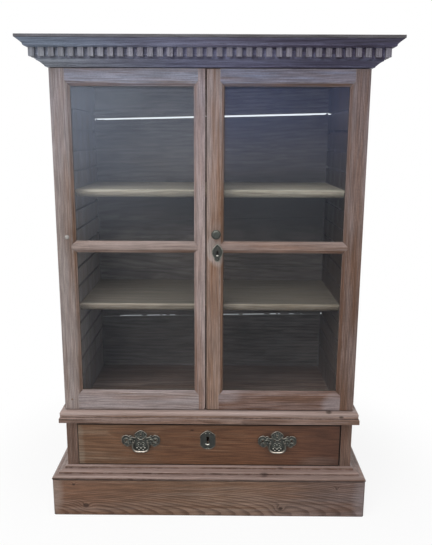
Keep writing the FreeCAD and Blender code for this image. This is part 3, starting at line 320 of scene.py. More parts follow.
def wood(name, grain, across, look, spacing=0.0045, pith=(0.03, 0.09), taper=0.012, rings=1.0,
         knots=(), worn=(), limed=(), marks=(), pairs=False, rows=False, cool=0.0, dirt=0.7,
         cover=None, wander=0.05, sway=2.4, relief=1.0, fine=1.0, patch=1.9, top=0.35, top_pale=1.1,
         top_to=None, pale_from=None, shy=0.0, tones=(PLAIN,), outline=None):
    """Pine whose rings are cut from a slightly tapered trunk, under what is left of its lime.

    grain and across are the axes along and across the boards. pairs says that the node is a
    left and a right piece, rows that it is the back boards. spacing is the width of a ring,
    pith how far the middle of the trunk lies from the board's own middle, across and behind,
    and taper how it leans. rings is how dark the rings are, wander and sway how uneven, fine
    how thin the fibres. knots are places along and across with a size. worn, limed and marks
    are places in x and z with a reach and an amount: less lime, more lime, and darker patches,
    which are stains in some places and painted shade in others. cover takes the place of the
    look's own, and patch is how patchy it is. shy is how much less lime lies on faces turned
    aside or down, which darkens them as painted shade. top is how much pale lime lies on faces
    turned up, as far back as top_to, and on all that is above pale_from, and top_pale its
    brightness; it is partly dusty lime and partly painted light from above. cool is how much
    painted cold sky sheen lies on the lime towards the top of the cabinet, dirt how dark the
    hollows are painted as shade. tones tint the whole, at every place alike or at the left,
    the middle and the right. outline is the width and strength of a painted shadow line round
    the piece. relief is the depth of the grain.
    """
    board = Board(name, grain, across, pairs, rows)
    t = board.t
    facing = t.facing()
    late, knot = board.ring_lines(spacing, pith, taper, wander, sway, knots)
    fibre = board.grain_noise(9.0, 520.0 * fine, 520.0 * fine, 2.0, 0.6)
    vein = board.grain_noise(16.0, 280.0 * fine, 280.0 * fine, 1.0)
    streak = board.grain_noise(3.0, 110.0, 80.0, 3.0, 0.62)
    broad = board.grain_noise(2.4, 24.0, 12.0, 3.0, 0.6)
    speck = t.noise(board.moved, 300.0, 1.0)
    blotch = t.noise(board.moved, 6.0, 3.0, 0.6)
    patchy = t.noise(board.moved, 38.0, 3.0, 0.6)

    # the wood itself
    ring_share = t.times(late, t.step(broad, 0.25, 0.70, 0.35 * rings, 0.95 * rings))
    colour = t.mix(ring_share, look.bare, look.late)
    colour = t.mix(t.step(streak, 0.50, 0.76, 0.0, 0.55), colour, look.late)

    # the lime
    left = board.lime_cover(cover or look.cover, worn, limed, patch, shy, facing, late, streak, broad)
    lime = look.lime
    # higher up the lime turns cold: a painted sky sheen
    if cool:
        cold = tuple(part * share for part, share in zip(look.lime, COLD))
        lime = t.mix(t.step(board.z, 0.85, 1.36, 0.0, cool), look.lime, cold)
    colour = t.mix(left, colour, lime)

    # fibres, blotches, veins and specks over both
    colour = t.mix(t.step(fibre, 0.45, 0.72, 0.0, 0.30), colour, look.late)
    shade = t.step(blotch, 0.25, 0.75, 0.88, 1.11)
    shade = t.times(shade, t.step(vein, 0.28, 0.72, 0.80, 1.20))
    shade = t.times(shade, t.step(speck, 0.25, 0.75, 0.90, 1.10))
    if rows:
        shade = t.times(shade, board.row_tone)
    colour = t.mix(1.0, colour, t.combine(shade, shade, shade), "MULTIPLY")
    if knots:
        colour = t.mix(t.times(knot, 0.80), colour, shaded(look.late, 0.45))

    # edges rubbed pale; what faces up made paler, partly dusty lime and partly painted light from above;
    # stains, and painted shade
    pale = shaded(look.lime, 1.08)
    rubbed = t.times(edge_turn(t, 0.0028), t.step(patchy, 0.38, 0.60, 0.15, 0.75))
    colour = t.mix(rubbed, colour, pale)
    lying = t.step(streak, 0.35, 0.60, 1.0, 0.6)
    dusty = t.times(t.step(facing[2], 0.25, 0.90, 0.0, top), lying)
    if pale_from is not None:
        raised = t.step(board.z, pale_from - 0.002, pale_from + 0.002, 0.0, top)
        dusty = t.math("MAXIMUM", dusty, t.times(raised, lying))
    outer = 1.0
    if top_to is not None:
        outer = t.step(board.y, top_to - 0.003, top_to, 1.0, 0.0)
        dusty = t.times(dusty, outer)
    colour = t.mix(dusty, colour, shaded(look.lime, top_pale))
    # darker patches: real stains in some places, painted shade in others
    for centre, reach, amount in marks:
        stain = t.times(t.times(board.spot(centre, reach), amount), outer)
        colour = t.mix(stain, colour, shaded(look.late, 0.30))

    # lime caught in the hollows; painted shade in the deepest of them, and a painted shadow line along the
    # outline
    grime = shaded(look.late, 0.35)
    hollow = t.add("AmbientOcclusion", samples=6)
    t.put(hollow, "Distance", 0.007)
    open_share = hollow.outputs["AO"]
    caught = t.times(t.step(open_share, 0.72, 0.95, 0.50, 0.0), t.step(patchy, 0.45, 0.60))
    colour = t.mix(caught, colour, pale)
    colour = t.mix(t.step(open_share, 0.28, 0.74, dirt, 0.0), colour, grime)
    if outline:
        width, amount = outline
        colour = t.mix(t.step(board.inside(), 0.25 * width, width, amount, 0.0), colour, grime)
    if tones != (PLAIN,):
        colour = t.mix(1.0, colour, board.tone(tones), "MULTIPLY")

    height = t.times_plus(late, 0.45, t.times(fibre, 0.55))
    height = t.times_plus(streak, 0.9, height)
    height = t.times_plus(broad, 1.2, height)
    body = t.add("BsdfPrincipled")
    t.put(body, "Base Color", colour)
    t.put(body, "Roughness", t.step(left, 0.0, 1.0, look.rough - 0.08, look.rough + 0.12))
    t.put(body, "Specular IOR Level", 0.22)
    t.put(body, "Normal", t.bump(height, 0.55 * relief, 0.0007))
    return t.finish(body.outputs[0])


# glass and metal

# the film on the panes, partly dusty bloom and partly a painted cold sky reflection: its left and right end
# in x, its amount there, and its colour low down and high up
Film = namedtuple("Film", "left right left_amount right_amount low_tint high_tint")
LEFT_FILM = Film(-0.42, -0.02, 0.086, 0.060, (0.48, 0.53, 0.66), (0.48, 0.55, 0.72))
RIGHT_FILM = Film(0.02, 0.42, 0.044, 0.030, (0.46, 0.50, 0.62), (0.32, 0.42, 0.84))


def glass(name, film):
    """Old pane: clear at the foot, a weak gloss, and a thin pale film towards the top, partly dusty and
    partly a painted cold sky reflection.
    """
    t = material_tree(name)
    place = t.place()
    x, _, z = t.split(place)
    clear = t.add("BsdfTransparent")
    t.put(clear, "Color", (0.96, 0.99, 1.0))
    gloss = t.add("BsdfGlossy")
    t.put(gloss, "Roughness", 0.06)
    t.put(gloss, "Color", (0.85, 0.92, 1.0))
    t.put(gloss, "Normal", t.bump(t.noise(place, 7.0, 1.0), 0.15, 0.004))
    rim = t.add("LayerWeight")
    t.put(rim, "Blend", 0.5)
    reflected = t.times_plus(t.math("POWER", rim.outputs["Facing"], 5.0), 0.60, 0.0043)
    surface = t.layer(reflected, clear.outputs[0], gloss.outputs[0])

    # more film at the left and higher up, blue at the top: a painted sky reflection over a dusty bloom
    across = t.step(x, film.left, film.right, film.left_amount, film.right_amount)
    smear = t.step(t.noise(place, 3.0, 3.0, 0.6), 0.2, 0.8, 0.75, 1.25)
    amount = t.times_plus(t.times(t.step(z, 0.78, 1.30), across), smear, 0.008)
    dust = t.add("BsdfDiffuse")
    t.put(dust, "Color", t.mix(t.step(z, 1.00, 1.30), film.low_tint, film.high_tint))
    return t.finish(t.layer(amount, surface, dust.outputs[0]))


def metal(name, base, bright, rough, worn=0.8, metallic=0.6, top=0.0, lift=None, sooty=()):
    """Dull metal with darker patina patches, rubbed brighter edges, and upper sides brightened partly by
    wear and partly as a painted highlight.

    worn is how bright the edges are and top how bright the upper sides, a painted highlight from above
    mixed with wear. lift is the height at which that brightening begins and the height at which it is full.
    sooty lists places painted black, as shade inside the keyholes.
    """
    t = material_tree(name)
    place = t.place()
    x, _, z = t.split(place)
    patina = t.noise(place, 130.0, 4.0, 0.65)
    speckle = t.noise(place, 620.0, 2.0, 0.6)
    colour = t.mix(t.step(patina, 0.35, 0.72), base, shaded(base, 1.9))
    rubbed = t.times(edge_turn(t, 0.0012), t.step(patina, 0.35, 0.6, 0.4 * worn, worn))
    colour = t.mix(rubbed, colour, bright)
    # upper sides brightened: a painted highlight from above, partly wear
    if top:
        above = t.times(t.step(t.facing()[2], 0.0, 0.75, 0.0, top), t.step(patina, 0.32, 0.60, 0.35, 1.0))
        if lift:
            above = t.times(above, t.step(z, *lift, 0.12, 1.0))
        colour = t.mix(above, colour, bright)
    # the keyholes painted black: painted shade inside them
    for centre, reach in sooty:
        colour = t.mix(fall_off(t, x, z, centre, reach), colour, (0.004, 0.004, 0.004))
    body = t.add("BsdfPrincipled")
    t.put(body, "Base Color", colour)
    t.put(body, "Metallic", metallic)
    t.put(body, "Roughness", t.step(patina, 0.3, 0.7, rough - 0.08, rough + 0.12))
    t.put(body, "Normal", t.bump(t.times_plus(speckle, 0.4, patina), 0.4, 0.0004))
    return t.finish(body.outputs[0])


# dressing the nodes

def dress(node_name, material):
    piece = nodes[node_name]
    piece.data.materials.clear()
    piece.data.materials.append(material)


def soften(node_name, width):
    """Rounds a wooden node's edges; its own mesh stays as it is."""
    piece = nodes[node_name]
    weld = piece.modifiers.new("weld", "WELD")
    weld.merge_threshold = 0.00001
    bevel = piece.modifiers.new("bevel", "BEVEL")
    bevel.width = width
    bevel.segments = 2
    bevel.limit_method = "ANGLE"
    bevel.angle_limit = math.radians(35)
    bevel.harden_normals = True


def timber(node_name, grain, across, look, edge=0.0, **detail):
    dress(node_name, wood(node_name, grain, across, look, **detail))
    if edge:
        soften(node_name, edge)


# a reach in x that takes in the whole width of the cabinet
ALL_ALONG = 3.0

crown = dict(pith=(0.05, 0.06), tones=((1.03, 1.12, 1.14), (1.20, 1.14, 1.30), (0.62, 0.57, 0.73)))
timber("cornice_board", "x", "y", CAP, 0.0010, pith=(0.2, -0.1), tones=((0.78, 0.81, 0.88),))
timber("crown_front", "x", "z", CROWN, 0.0004, dirt=0.3, **crown)
timber("crown_returns", "y", "z", CROWN, 0.0004, pairs=True, dirt=0.3, **crown)
# the rail behind the dentils is lightened by its tones, painted light in the shade between the dentils, and
# darkened in a band at one height, a painted shadow
timber("dentil_rails", "x", "z", CROWN, 0.0004, pith=(0.05, 0.06), dirt=0.0, top=0.0,
       marks=(((0.0, 1.4035), (ALL_ALONG, 0.008), 0.7),),
       tones=((1.85, 1.85, 1.80), (1.50, 1.42, 1.75), (1.15, 1.05, 1.30)))
timber("dentils", "z", "x", DENTIL, 0.0004, pith=(0.05, 0.06), dirt=0.0,
       tones=((0.86, 0.92, 0.95), (0.93, 0.93, 1.03), (0.92, 0.91, 0.98)))
timber("bed_moulding", "x", "z", CROWN, 0.0004, pith=(0.05, 0.06), dirt=0.1, top=0.0,
       marks=(((0.0, 1.400), (ALL_ALONG, 0.006), 0.35),),
       tones=((1.76, 1.76, 1.61), (1.06, 1.02, 1.21), (0.78, 0.81, 0.97)))
timber("frieze_board", "x", "z", CROWN, pith=(0.05, 0.06), dirt=0.0)
timber("side_left", "z", "y", DOOR, 0.0010, pith=(0.05, 0.15), cool=0.5)
timber("side_right", "z", "y", DOOR, 0.0010, pith=(-0.08, 0.15), cool=0.5,
       marks=(((0.404, 0.97), (0.020, 0.40), 0.92), ((0.404, 0.52), (0.020, 0.38), 0.58)))
timber("top_board", "x", "y", INNER, pith=(0.05, 0.1))
# the two upper dark bands on the back boards are painted shadow under the upper shelf; the lowest darkens
# the lower part of the back
timber("back_boards", "x", "z", BACK, spacing=0.012, pith=(-0.05, 0.13), taper=0.08, rings=0.7,
       rows=True, relief=0.0, fine=0.35,
       tones=((1.00, 0.99, 1.03), (0.86, 0.82, 0.83), (0.72, 0.68, 0.69)),
       marks=(((0.30, 0.960), (0.70, 0.17), 0.88), ((-0.25, 0.970), (0.50, 0.14), 0.45),
              ((-0.1, 0.45), (0.60, 0.15), 0.30)))
# on both shelves the dark band across the whole width at the height of the underside is painted shade on
# the lower part of the front edge; on the lower shelf what faces up is darkened too (top_pale under 1),
# painted shade inside the cabinet
timber("shelf_lower", "x", "y", SHELF, 0.0035, pith=(0.02, 0.1), top=1.0, top_pale=0.47,
       marks=(((0.0, 0.6535), (ALL_ALONG, 0.024), 0.68),),
       tones=((0.86, 0.81, 0.86), (0.78, 0.74, 0.78), (0.69, 0.64, 0.66)))
timber("shelf_upper", "x", "y", SHELF, 0.0035, pith=(0.02, 0.1),
       marks=(((0.0, 1.0099), (ALL_ALONG, 0.022), 0.60),), tones=((0.95, 0.94, 0.97),))
# the pale on the waist board's top (top, top_pale, pale_from) is partly dusty lime and partly painted light
# from above, and its hollows are painted shade; the two small dark spots are nail holes and dents
timber("waist_board", "x", "y", WAIST, 0.0006, pith=(0.02, 0.1), top=0.9, top_pale=1.14,
       top_to=-0.147, pale_from=0.3315, dirt=0.5,
       marks=(((0.377, 0.344), (0.012, 0.004), 0.8), ((0.416, 0.330), (0.010, 0.006), 0.8)))
timber("waist_band", "x", "z", WAIST, 0.0005, pith=(0.02, 0.1), tones=((0.90, 0.88, 0.87),))
timber("pedestal_top", "x", "y", RAW)
timber("pedestal_posts", "z", "x", POST, 0.0010, pith=(0.08, 0.02), pairs=True,
       tones=((0.88, 0.78, 0.69),))
timber("pedestal_sides", "y", "z", WAIST, 0.0010, pairs=True)
timber("pedestal_back", "x", "z", RAW, 0.0010)
for rail in ("drawer_top_rail", "drawer_bottom_rail"):
    timber(rail, "x", "z", DRAWER, 0.0006, pith=(0.05, 0.03))
timber("drawer_runners", "y", "z", RAW, pairs=True)
# the pale on what faces up (top) is partly dusty lime and partly painted light from above; the dark band
# low down along the whole length is painted shade under the lower roll
timber("base_moulding", "x", "z", BASE, 0.0005, pith=(0.02, 0.1), top=0.75, dirt=0.9,
       marks=(((0.176, 0.138), (0.020, 0.005), 0.8), ((0.230, 0.149), (0.014, 0.004), 0.6),
              ((0.0, 0.121), (ALL_ALONG, 0.009), 0.55)))
plinth = dict(spacing=0.0036, rings=0.95, wander=0.010, sway=0.9, patch=1.0)
# the dark line round the plinth front (outline) is a painted shadow where it meets the floor and the
# moulding
timber("plinth_front", "x", "z", PLINTH, 0.0030, pith=(-0.060, 0.11), taper=-0.075, **plinth,
       tones=((1.0, 0.90, 0.83), (1.03, 1.0, 0.93), (0.80, 0.80, 0.88)), outline=(0.0030, 0.35),
       knots=((-0.393, 0.034, 0.008), (-0.430, 0.107, 0.004), (0.407, 0.098, 0.003),
              (0.230, 0.027, 0.006)),
       limed=(((-0.50, 0.08), (0.045, 0.10), 0.8), ((0.50, 0.06), (0.05, 0.12), 0.5)))
timber("plinth_sides", "y", "z", PLINTH, 0.0030, pith=(-0.06, 0.11), taper=0.075, pairs=True, **plinth)
timber("glue_blocks", "x", "z", RAW)

DOOR_PARTS = {
    "left_outer_stile": dict(
        cover=(0.84, 0.84), worn=(((-0.41, 0.95), (0.03, 0.25), 0.25),), cool=0.35,
        tones=((0.83, 0.82, 0.81),)),
    "left_meeting_stile": dict(
        cover=(0.95, 0.95), worn=(((-0.03, 0.42), (0.03, 0.22), 0.40),), cool=0.45,
        tones=((1.0, 0.93, 0.92),)),
    "left_top_rail": dict(cover=(0.95, 0.95), cool=1.0, tones=((0.99, 0.98, 0.95),)),
    "left_glazing_bar": dict(cover=(0.90, 0.90), cool=0.3, tones=((0.88, 0.81, 0.77),)),
    "left_bottom_rail": dict(cover=(0.88, 0.88), tones=((0.88, 0.87, 0.90),)),
    # darkened behind the keyhole, painted shade, and a painted shadow line round its edges (outline) for
    # the gap between the doors; the pale patches are lime
    "right_meeting_stile": dict(
        cover=(0.74, 0.74), worn=(((0.02, 0.60), (0.06, 0.50), 0.50),),
        limed=(((0.006, 0.862), (0.016, 0.044), 1.0), ((0.02, 0.905), (0.03, 0.05), 0.3),
               ((0.024, 0.846), (0.03, 0.045), 1.0)),
        marks=(((0.024, 0.851), (0.006, 0.013), 1.0),),
        cool=0.45, tones=((1.0, 0.95, 0.90),), outline=(0.0026, 0.85)),
    "right_outer_stile": dict(
        cover=(0.50, 0.50), worn=(((0.42, 0.55), (0.06, 0.40), 0.25),), cool=0.45,
        tones=((0.66, 0.62, 0.62),)),
    "right_top_rail": dict(cover=(0.72, 0.62), cool=1.0, tones=((0.82, 0.88, 0.97),)),
    "right_glazing_bar": dict(cover=(0.55, 0.50), cool=0.3, tones=((0.84, 0.77, 0.74),)),
    "right_bottom_rail": dict(
        cover=(0.50, 0.22), limed=(((0.395, 0.365), (0.05, 0.05), 0.9), ((0.05, 0.39), (0.06, 0.03), 0.5)),
        tones=((0.71, 0.66, 0.68),)),
}
for role, detail in DOOR_PARTS.items():
    side = 1 if role.startswith("left") else -1
    if role.endswith("stile"):
        timber("door_" + role, "z", "x", DOOR, 0.0005, pith=(0.07 * side, 0.03), shy=0.40, **detail)
    else:
        timber("door_" + role, "x", "z", DOOR, 0.0005, pith=(0.04 * side, 0.06), shy=0.40, dirt=0.45,
               **detail)
for door, film in (("door_left_", LEFT_FILM), ("door_right_", RIGHT_FILM)):
    timber(door + "beads", "z", "x", INNER)
    dress(door + "panes", glass(door + "panes", film))

# a painted shadow line round the front (outline) stands for the gaps round the drawer; the dark patches
# behind the keyhole and round and behind the handle plates are painted shade, with some soiling round the
# plates
timber("drawer_front", "x", "z", DRAWER, 0.0010, spacing=0.0050, pith=(0.03, 0.12), taper=0.03,
       rings=0.40, sway=1.2, patch=0.8, outline=(0.0030, 0.85),
       tones=((1.16, 1.28, 1.20), (0.94, 0.88, 0.74), (0.62, 0.55, 0.58)),
       limed=(((0.36, 0.165), (0.09, 0.03), 0.6), ((-0.415, 0.2), (0.02, 0.15), 0.35)),
       marks=(((-0.054, 0.275), (0.008, 0.004), 0.7), ((-0.004, 0.243), (0.020, 0.034), 1.0),
              ((-0.218, 0.238), (0.075, 0.042), 0.9), ((0.218, 0.238), (0.075, 0.042), 0.9)))
timber("drawer_sides", "y", "z", RAW, 0.0008, pairs=True)
timber("drawer_back", "x", "z", RAW, 0.0008)
timber("drawer_bottom", "x", "y", RAW)

for name in ("back_nails", "cabinet_hinges", "door_left_hinges", "door_right_hinges"):
    dress(name, metal(name, (0.10, 0.095, 0.09), (0.40, 0.38, 0.35), 0.45))
for name in ("door_right_lock", "drawer_lock", "door_bolt", "drawer_bolt"):
    dress(name, metal(name, (0.040, 0.038, 0.036), (0.30, 0.28, 0.26), 0.45))

PATINA = (0.022, 0.024, 0.021)
RUBBED = (0.52, 0.48, 0.38)
# each keyhole: its middle in x and z, and how far the black painted round it as shade reaches
DOOR_KEYHOLE = ((0.024, 0.8505), (0.0060, 0.0110))
DRAWER_KEYHOLE = ((-0.004, 0.2430), (0.0085, 0.0150))
for name, base, sooty in (("door_right_escutcheon", PATINA, (DOOR_KEYHOLE,)),
                          ("drawer_escutcheon", shaded(PATINA, 0.75), (DRAWER_KEYHOLE,)),
                          ("handle_plates", PATINA, ()), ("handle_posts", PATINA, ())):
    dress(name, metal(name, base, RUBBED, 0.42, worn=0.5, metallic=0.4, sooty=sooty))
# the knob's upper side is brightened (top): a painted highlight from above
dress("door_right_knob", metal("door_right_knob", (0.034, 0.037, 0.033), (0.20, 0.20, 0.17), 0.42, top=0.5))
dress("door_left_screw", metal("door_left_screw", (0.20, 0.19, 0.18), (0.42, 0.40, 0.38), 0.5))
# the bails are brightened on their upper sides low down (top, lift): a painted highlight from above, partly
# wear
for name in ("bail_left", "bail_right"):
    dress(name, metal(name, (0.06, 0.057, 0.048), (0.84, 0.74, 0.64), 0.34,
                      worn=0.25, top=0.9, lift=(0.222, 0.212)))


# relief on the brass

def add_piece(name, shell, material, body, smooth=True):
    mesh = bpy.data.meshes.new(name)
    vertices, faces = shell
    mesh.from_pydata(vertices, [], faces)
    mesh.validate()
    work = bmesh.new()
    work.from_mesh(mesh)
    bmesh.ops.recalc_face_normals(work, faces=work.faces)
    work.to_mesh(mesh)
    work.free()
    for face in mesh.polygons:
        face.use_smooth = smooth
    piece = bpy.data.objects.new(name, mesh)
    bpy.context.scene.collection.objects.link(piece)
    mesh.materials.append(material)
    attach(piece, body)


def front_loops(node_name, level):
    """Closed outlines of the flat front face of a node, as lists of (x, z)."""
    mesh = nodes[node_name].data
    spot = [(round(v.co.x, 6), round(v.co.z, 6)) for v in mesh.vertices]
    flat = [abs(v.co.y - level) < 0.00002 for v in mesh.vertices]
    count = {}
    for face in mesh.polygons:
        corners = list(face.vertices)
        if not all(flat[c] for c in corners):
            continue
        for a, b in zip(corners, corners[1:] + corners[:1]):
            key = tuple(sorted((spot[a], spot[b])))
            if key[0] != key[1]:
                count[key] = count.get(key, 0) + 1
    after = {}
    for (a, b), times in count.items():
        if times == 1:
            after.setdefault(a, []).append(b)
            after.setdefault(b, []).append(a)
    loops = []
    left = set(after)
    while left:
        here = min(left)
        loop = [here]
        left.discard(here)
        while True:
            steps = [p for p in after[here] if p in left]
            if not steps:
                break
            here = min(steps)
            left.discard(here)
            loop.append(here)
        if len(loop) > 4:
            loops.append(loop)
    return loops


def even_spacing(loop, step):
    """The same closed line with points about step apart."""
    ring = loop + loop[:1]
    lengths = [0.0]
    for a, b in zip(ring, ring[1:]):
        lengths.append(lengths[-1] + math.dist(a, b))
    total = max(2, round(lengths[-1] / step))
    result = []
    place = 0
    for number in range(total):
        want = lengths[-1] * number / total
        while place < len(lengths) - 2 and lengths[place + 1] < want:
            place += 1
        span = lengths[place + 1] - lengths[place] or 1.0
        share = (want - lengths[place]) / span
        a, b = ring[place], ring[place + 1]
        result.append((a[0] + share * (b[0] - a[0]), a[1] + share * (b[1] - a[1])))
    return result


def signed_area(loop):
    return sum(a[0] * b[1] - b[0] * a[1] for a, b in zip(loop, loop[1:] + loop[:1])) / 2


def ridge(shell, points, radius, level, closed=False, inset=0.0):
    """Adds a round bead along a line of (x, z) points lying on the face at y = level.

    On an open line the bead thins towards its ends.
    """
    vertices, faces = shell
    sides = 8
    total = len(points)
    base = len(vertices)
    for number, (x, z) in enumerate(points):
        before = points[number - 1] if closed or number else points[number]
        behind = points[(number + 1) % total] if closed or number < total - 1 else points[number]
        along = Vector((behind[0] - before[0], behind[1] - before[1]))
        if along.length == 0:
            along = Vector((1, 0))
        along.normalize()
        aside = Vector((-along[1], along[0]))
        size = radius
        if not closed:
            share = number / (total - 1)
            size = radius * (0.35 + 0.65 * math.sin(math.pi * share) ** 0.6)
        for side in range(sides):
            turn = 2 * math.pi * side / sides
            out = inset + size * math.cos(turn)
            vertices.append((x + out * aside[0], level - size * math.sin(turn), z + out * aside[1]))
    for number in range(total if closed else total - 1):
        here = base + number * sides
        there = base + (number + 1) % total * sides
        for side in range(sides):
            after = (side + 1) % sides
            faces.append((here + side, here + after, there + after, there + side))
    if not closed:
        faces.append(tuple(base + side for side in range(sides)))
        faces.append(tuple(base + (total - 1) * sides + side for side in range(sides)))


def boss(shell, x, z, radius, height, level):
    """Adds a low round head on the face at y = level."""
    vertices, faces = shell
    sides, rows = 14, 4
    base = len(vertices)
    for row in range(rows):
        turn = math.pi / 2 * row / rows
        for side in range(sides):
            way = 2 * math.pi * side / sides
            out = radius * math.cos(turn)
            raised = height * math.sin(turn)
            vertices.append((x + out * math.cos(way), level - raised, z + out * math.sin(way)))
    vertices.append((x, level - height, z))
    for row in range(rows - 1):
        for side in range(sides):
            after = (side + 1) % sides
            a, b = base + row * sides, base + (row + 1) * sides
            faces.append((a + side, a + after, b + after, b + side))
    top = base + (rows - 1) * sides
    for side in range(sides):
        faces.append((top + side, top + (side + 1) % sides, base + rows * sides))
    faces.append(tuple(base + side for side in reversed(range(sides))))


# a loop of more area than this is a plate's outline, and one of less than the other a mere nick
OUTLINE_AREA, NICK_AREA = 0.0005, 0.000004
RIM_STEP = 0.0011


def rims(node_name, outer_radius, hole_radius=0.0):
    """A bead along the outline of each plate of a node and, if wanted, round each of its holes."""
    shell = ([], [])
    for loop in front_loops(node_name, plate_face):
        line = even_spacing(loop, RIM_STEP)
        area = signed_area(line)
        is_outline = abs(area) > OUTLINE_AREA
        radius = outer_radius if is_outline else hole_radius
        if abs(area) < NICK_AREA or not radius:
            continue
        inward = 1 if area > 0 else -1
        side = inward if is_outline else -inward
        ridge(shell, line, radius, plate_face, closed=True, inset=side * radius * 0.95)
    return shell


def spiral(centre, start_radius, end_radius, start_turn, turns, mirror):
    points = []
    steps = int(turns * 26)
    for number in range(steps + 1):
        share = number / steps
        radius = start_radius + share * (end_radius - start_radius)
        way = start_turn + share * turns * 2 * math.pi
        points.append((centre[0] + mirror * radius * math.cos(way), centre[1] + radius * math.sin(way)))
    return points


def arc_line(points):
    """A smooth line through three points."""
    (ax, az), (bx, bz), (cx, cz) = points
    mx, mz = 2 * bx - (ax + cx) / 2, 2 * bz - (az + cz) / 2
    steps = 10
    line = []
    for number in range(steps + 1):
        s = number / steps
        line.append((
            (1 - s) ** 2 * ax + 2 * s * (1 - s) * mx + s * s * cx,
            (1 - s) ** 2 * az + 2 * s * (1 - s) * mz + s * s * cz,
        ))
    return line


plate_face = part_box("handle_plates")[0][1]
# relief and rims are brighter on their upper sides (top, lift): a painted highlight from above, partly
# wear; the lips are bright all over as painted glints
relief_brass = metal("relief_brass", shaded(PATINA, 2.8), (0.56, 0.54, 0.46), 0.36, worn=0.3, top=0.8)
rim_brass = metal("rim_brass", (0.045, 0.043, 0.036), (0.86, 0.77, 0.66), 0.34,
                  worn=0.15, top=1.0, lift=(0.236, 0.260))
lip_brass = metal("lip_brass", (0.42, 0.40, 0.35), (0.85, 0.83, 0.76), 0.28, top=0.8)
door_rim_brass = metal("door_rim_brass", (0.10, 0.10, 0.085), (0.62, 0.62, 0.54), 0.34,
                       worn=0.3, top=0.95, lift=(0.832, 0.862))

# the relief of one handle plate, measured from the middle between its posts. The scroll, the
# lines (bead radius and three points) and the heads (place, radius and height) stand on both
# sides; the crest line, the middle head and the beads are there once.
HANDLES_X, HANDLE_Z = (-0.218, 0.218), 0.238
POST_X = 0.032
SCROLL_PLACE, SCROLL_RADII, SCROLL_START, SCROLL_TURNS = (0.0460, 0.0030), (0.0098, 0.0050), 0.9, 1.35
LINES = (
    (0.0010, (0.0200, 0.0095), (0.0290, 0.0120), (0.0370, 0.0095)),
    (0.0010, (0.0250, -0.0090), (0.0330, -0.0115), (0.0410, -0.0085)),
    (0.0011, (0.0015, 0.0110), (0.0035, 0.0200), (0.0020, 0.0320)),
    (0.0011, (0.0035, 0.0100), (0.0085, 0.0175), (0.0085, 0.0265)),
    (0.0011, (0.0055, 0.0090), (0.0130, 0.0135), (0.0155, 0.0195)),
    (0.0011, (0.0020, -0.0040), (0.0110, -0.0080), (0.0150, -0.0170)),
    (0.0010, (0.0010, -0.0210), (0.0080, -0.0200), (0.0125, -0.0150)),
)
HEADS = (((0.0080, -0.0135), 0.0022, 0.0016), ((0.0205, 0.0000), 0.0020, 0.0014))
CREST = ((-0.009, 0.0085), (0.0, 0.0055), (0.009, 0.0085))
BEADS = ((-0.0125, -0.0235), (0.0, -0.0245), (0.0125, -0.0235), (-0.0065, -0.0305), (0.0065, -0.0305))
ROSE_RINGS = ((0.0072, 0.0009), (0.0050, 0.0007))


def on_plate(centre, point, mirror=1):
    return (centre + mirror * point[0], HANDLE_Z + point[1])


scrolls = ([], [])
beads = ([], [])
roses = ([], [])
for centre in HANDLES_X:
    for mirror in (-1, 1):
        place = on_plate(centre, SCROLL_PLACE, mirror)
        curl = spiral(place, *SCROLL_RADII, math.pi * SCROLL_START, SCROLL_TURNS, mirror)
        ridge(scrolls, curl, 0.0010, plate_face)
        for radius, *points in LINES:
            line = arc_line([on_plate(centre, point, mirror) for point in points])
            ridge(scrolls, line, radius, plate_face)
        for point, radius, height in HEADS:
            boss(scrolls, *on_plate(centre, point, mirror), radius, height, plate_face)
        post_x = centre + mirror * POST_X
        for ring_radius, bead in ROSE_RINGS:
            turns = [number * math.pi / 16 for number in range(32)]
            circle = [(post_x + ring_radius * math.cos(turn), HANDLE_Z + ring_radius * math.sin(turn))
                      for turn in turns]
            ridge(roses, circle, bead, plate_face, closed=True)
    boss(scrolls, centre, HANDLE_Z - 0.0105, 0.0026, 0.0018, plate_face)
    for point in BEADS:
        boss(beads, *on_plate(centre, point), 0.0020, 0.0018, plate_face)
    ridge(scrolls, arc_line([on_plate(centre, point) for point in CREST]), 0.0011, plate_face)
add_piece("handle_rims", rims("handle_plates", 0.0010, 0.0006), rim_brass, "drawer")
add_piece("handle_scrolls", scrolls, relief_brass, "drawer")
add_piece("handle_beads", beads, lip_brass, "drawer")
add_piece("post_roses", roses, relief_brass, "drawer")
add_piece("drawer_plate_rims", rims("drawer_escutcheon", 0.0010), rim_brass, "drawer")
add_piece("door_plate_rims", rims("door_right_escutcheon", 0.0012), door_rim_brass,
          "right_door")

# the lip under each keyhole and the studs of the drawer's plate, bright as painted glints
door_lip = ([], [])
ridge(door_lip, arc_line(((0.0205, 0.8440), (0.0240, 0.8418), (0.0275, 0.8440))), 0.0015, plate_face)
add_piece("door_plate_lip", door_lip, lip_brass, "right_door")
drawer_lip = ([], [])
ridge(drawer_lip, arc_line(((-0.0115, 0.2300), (-0.0045, 0.2272), (0.0020, 0.2305))), 0.0019, plate_face)
for x, z in ((-0.0085, 0.2130), (-0.0005, 0.2130), (-0.0100, 0.2660), (-0.0040, 0.2680), (0.0020, 0.2660)):
    boss(drawer_lip, x, z, 0.0015, 0.0012, plate_face)
add_piece("drawer_plate_lip", drawer_lip, lip_brass, "drawer")


# pegs and joints

# two wooden pegs through the joints of the left door
pegs = ([], [])
door_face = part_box("door_left_outer_stile")[0][1]
for x, z in ((-0.432, 0.378), (-0.025, 0.369)):
    boss(pegs, x, z, 0.0036, 0.0006, door_face)
add_piece("door_pegs", pegs, wood("door_left_bottom_rail", "y", "x", DRAWER), "left_door")

# the strips that close the joints where they show dark, standing in for shade there, reach this far to each
# side, in so many steps
WASTE_REACH, WASTE_STEPS = 0.4068, 260


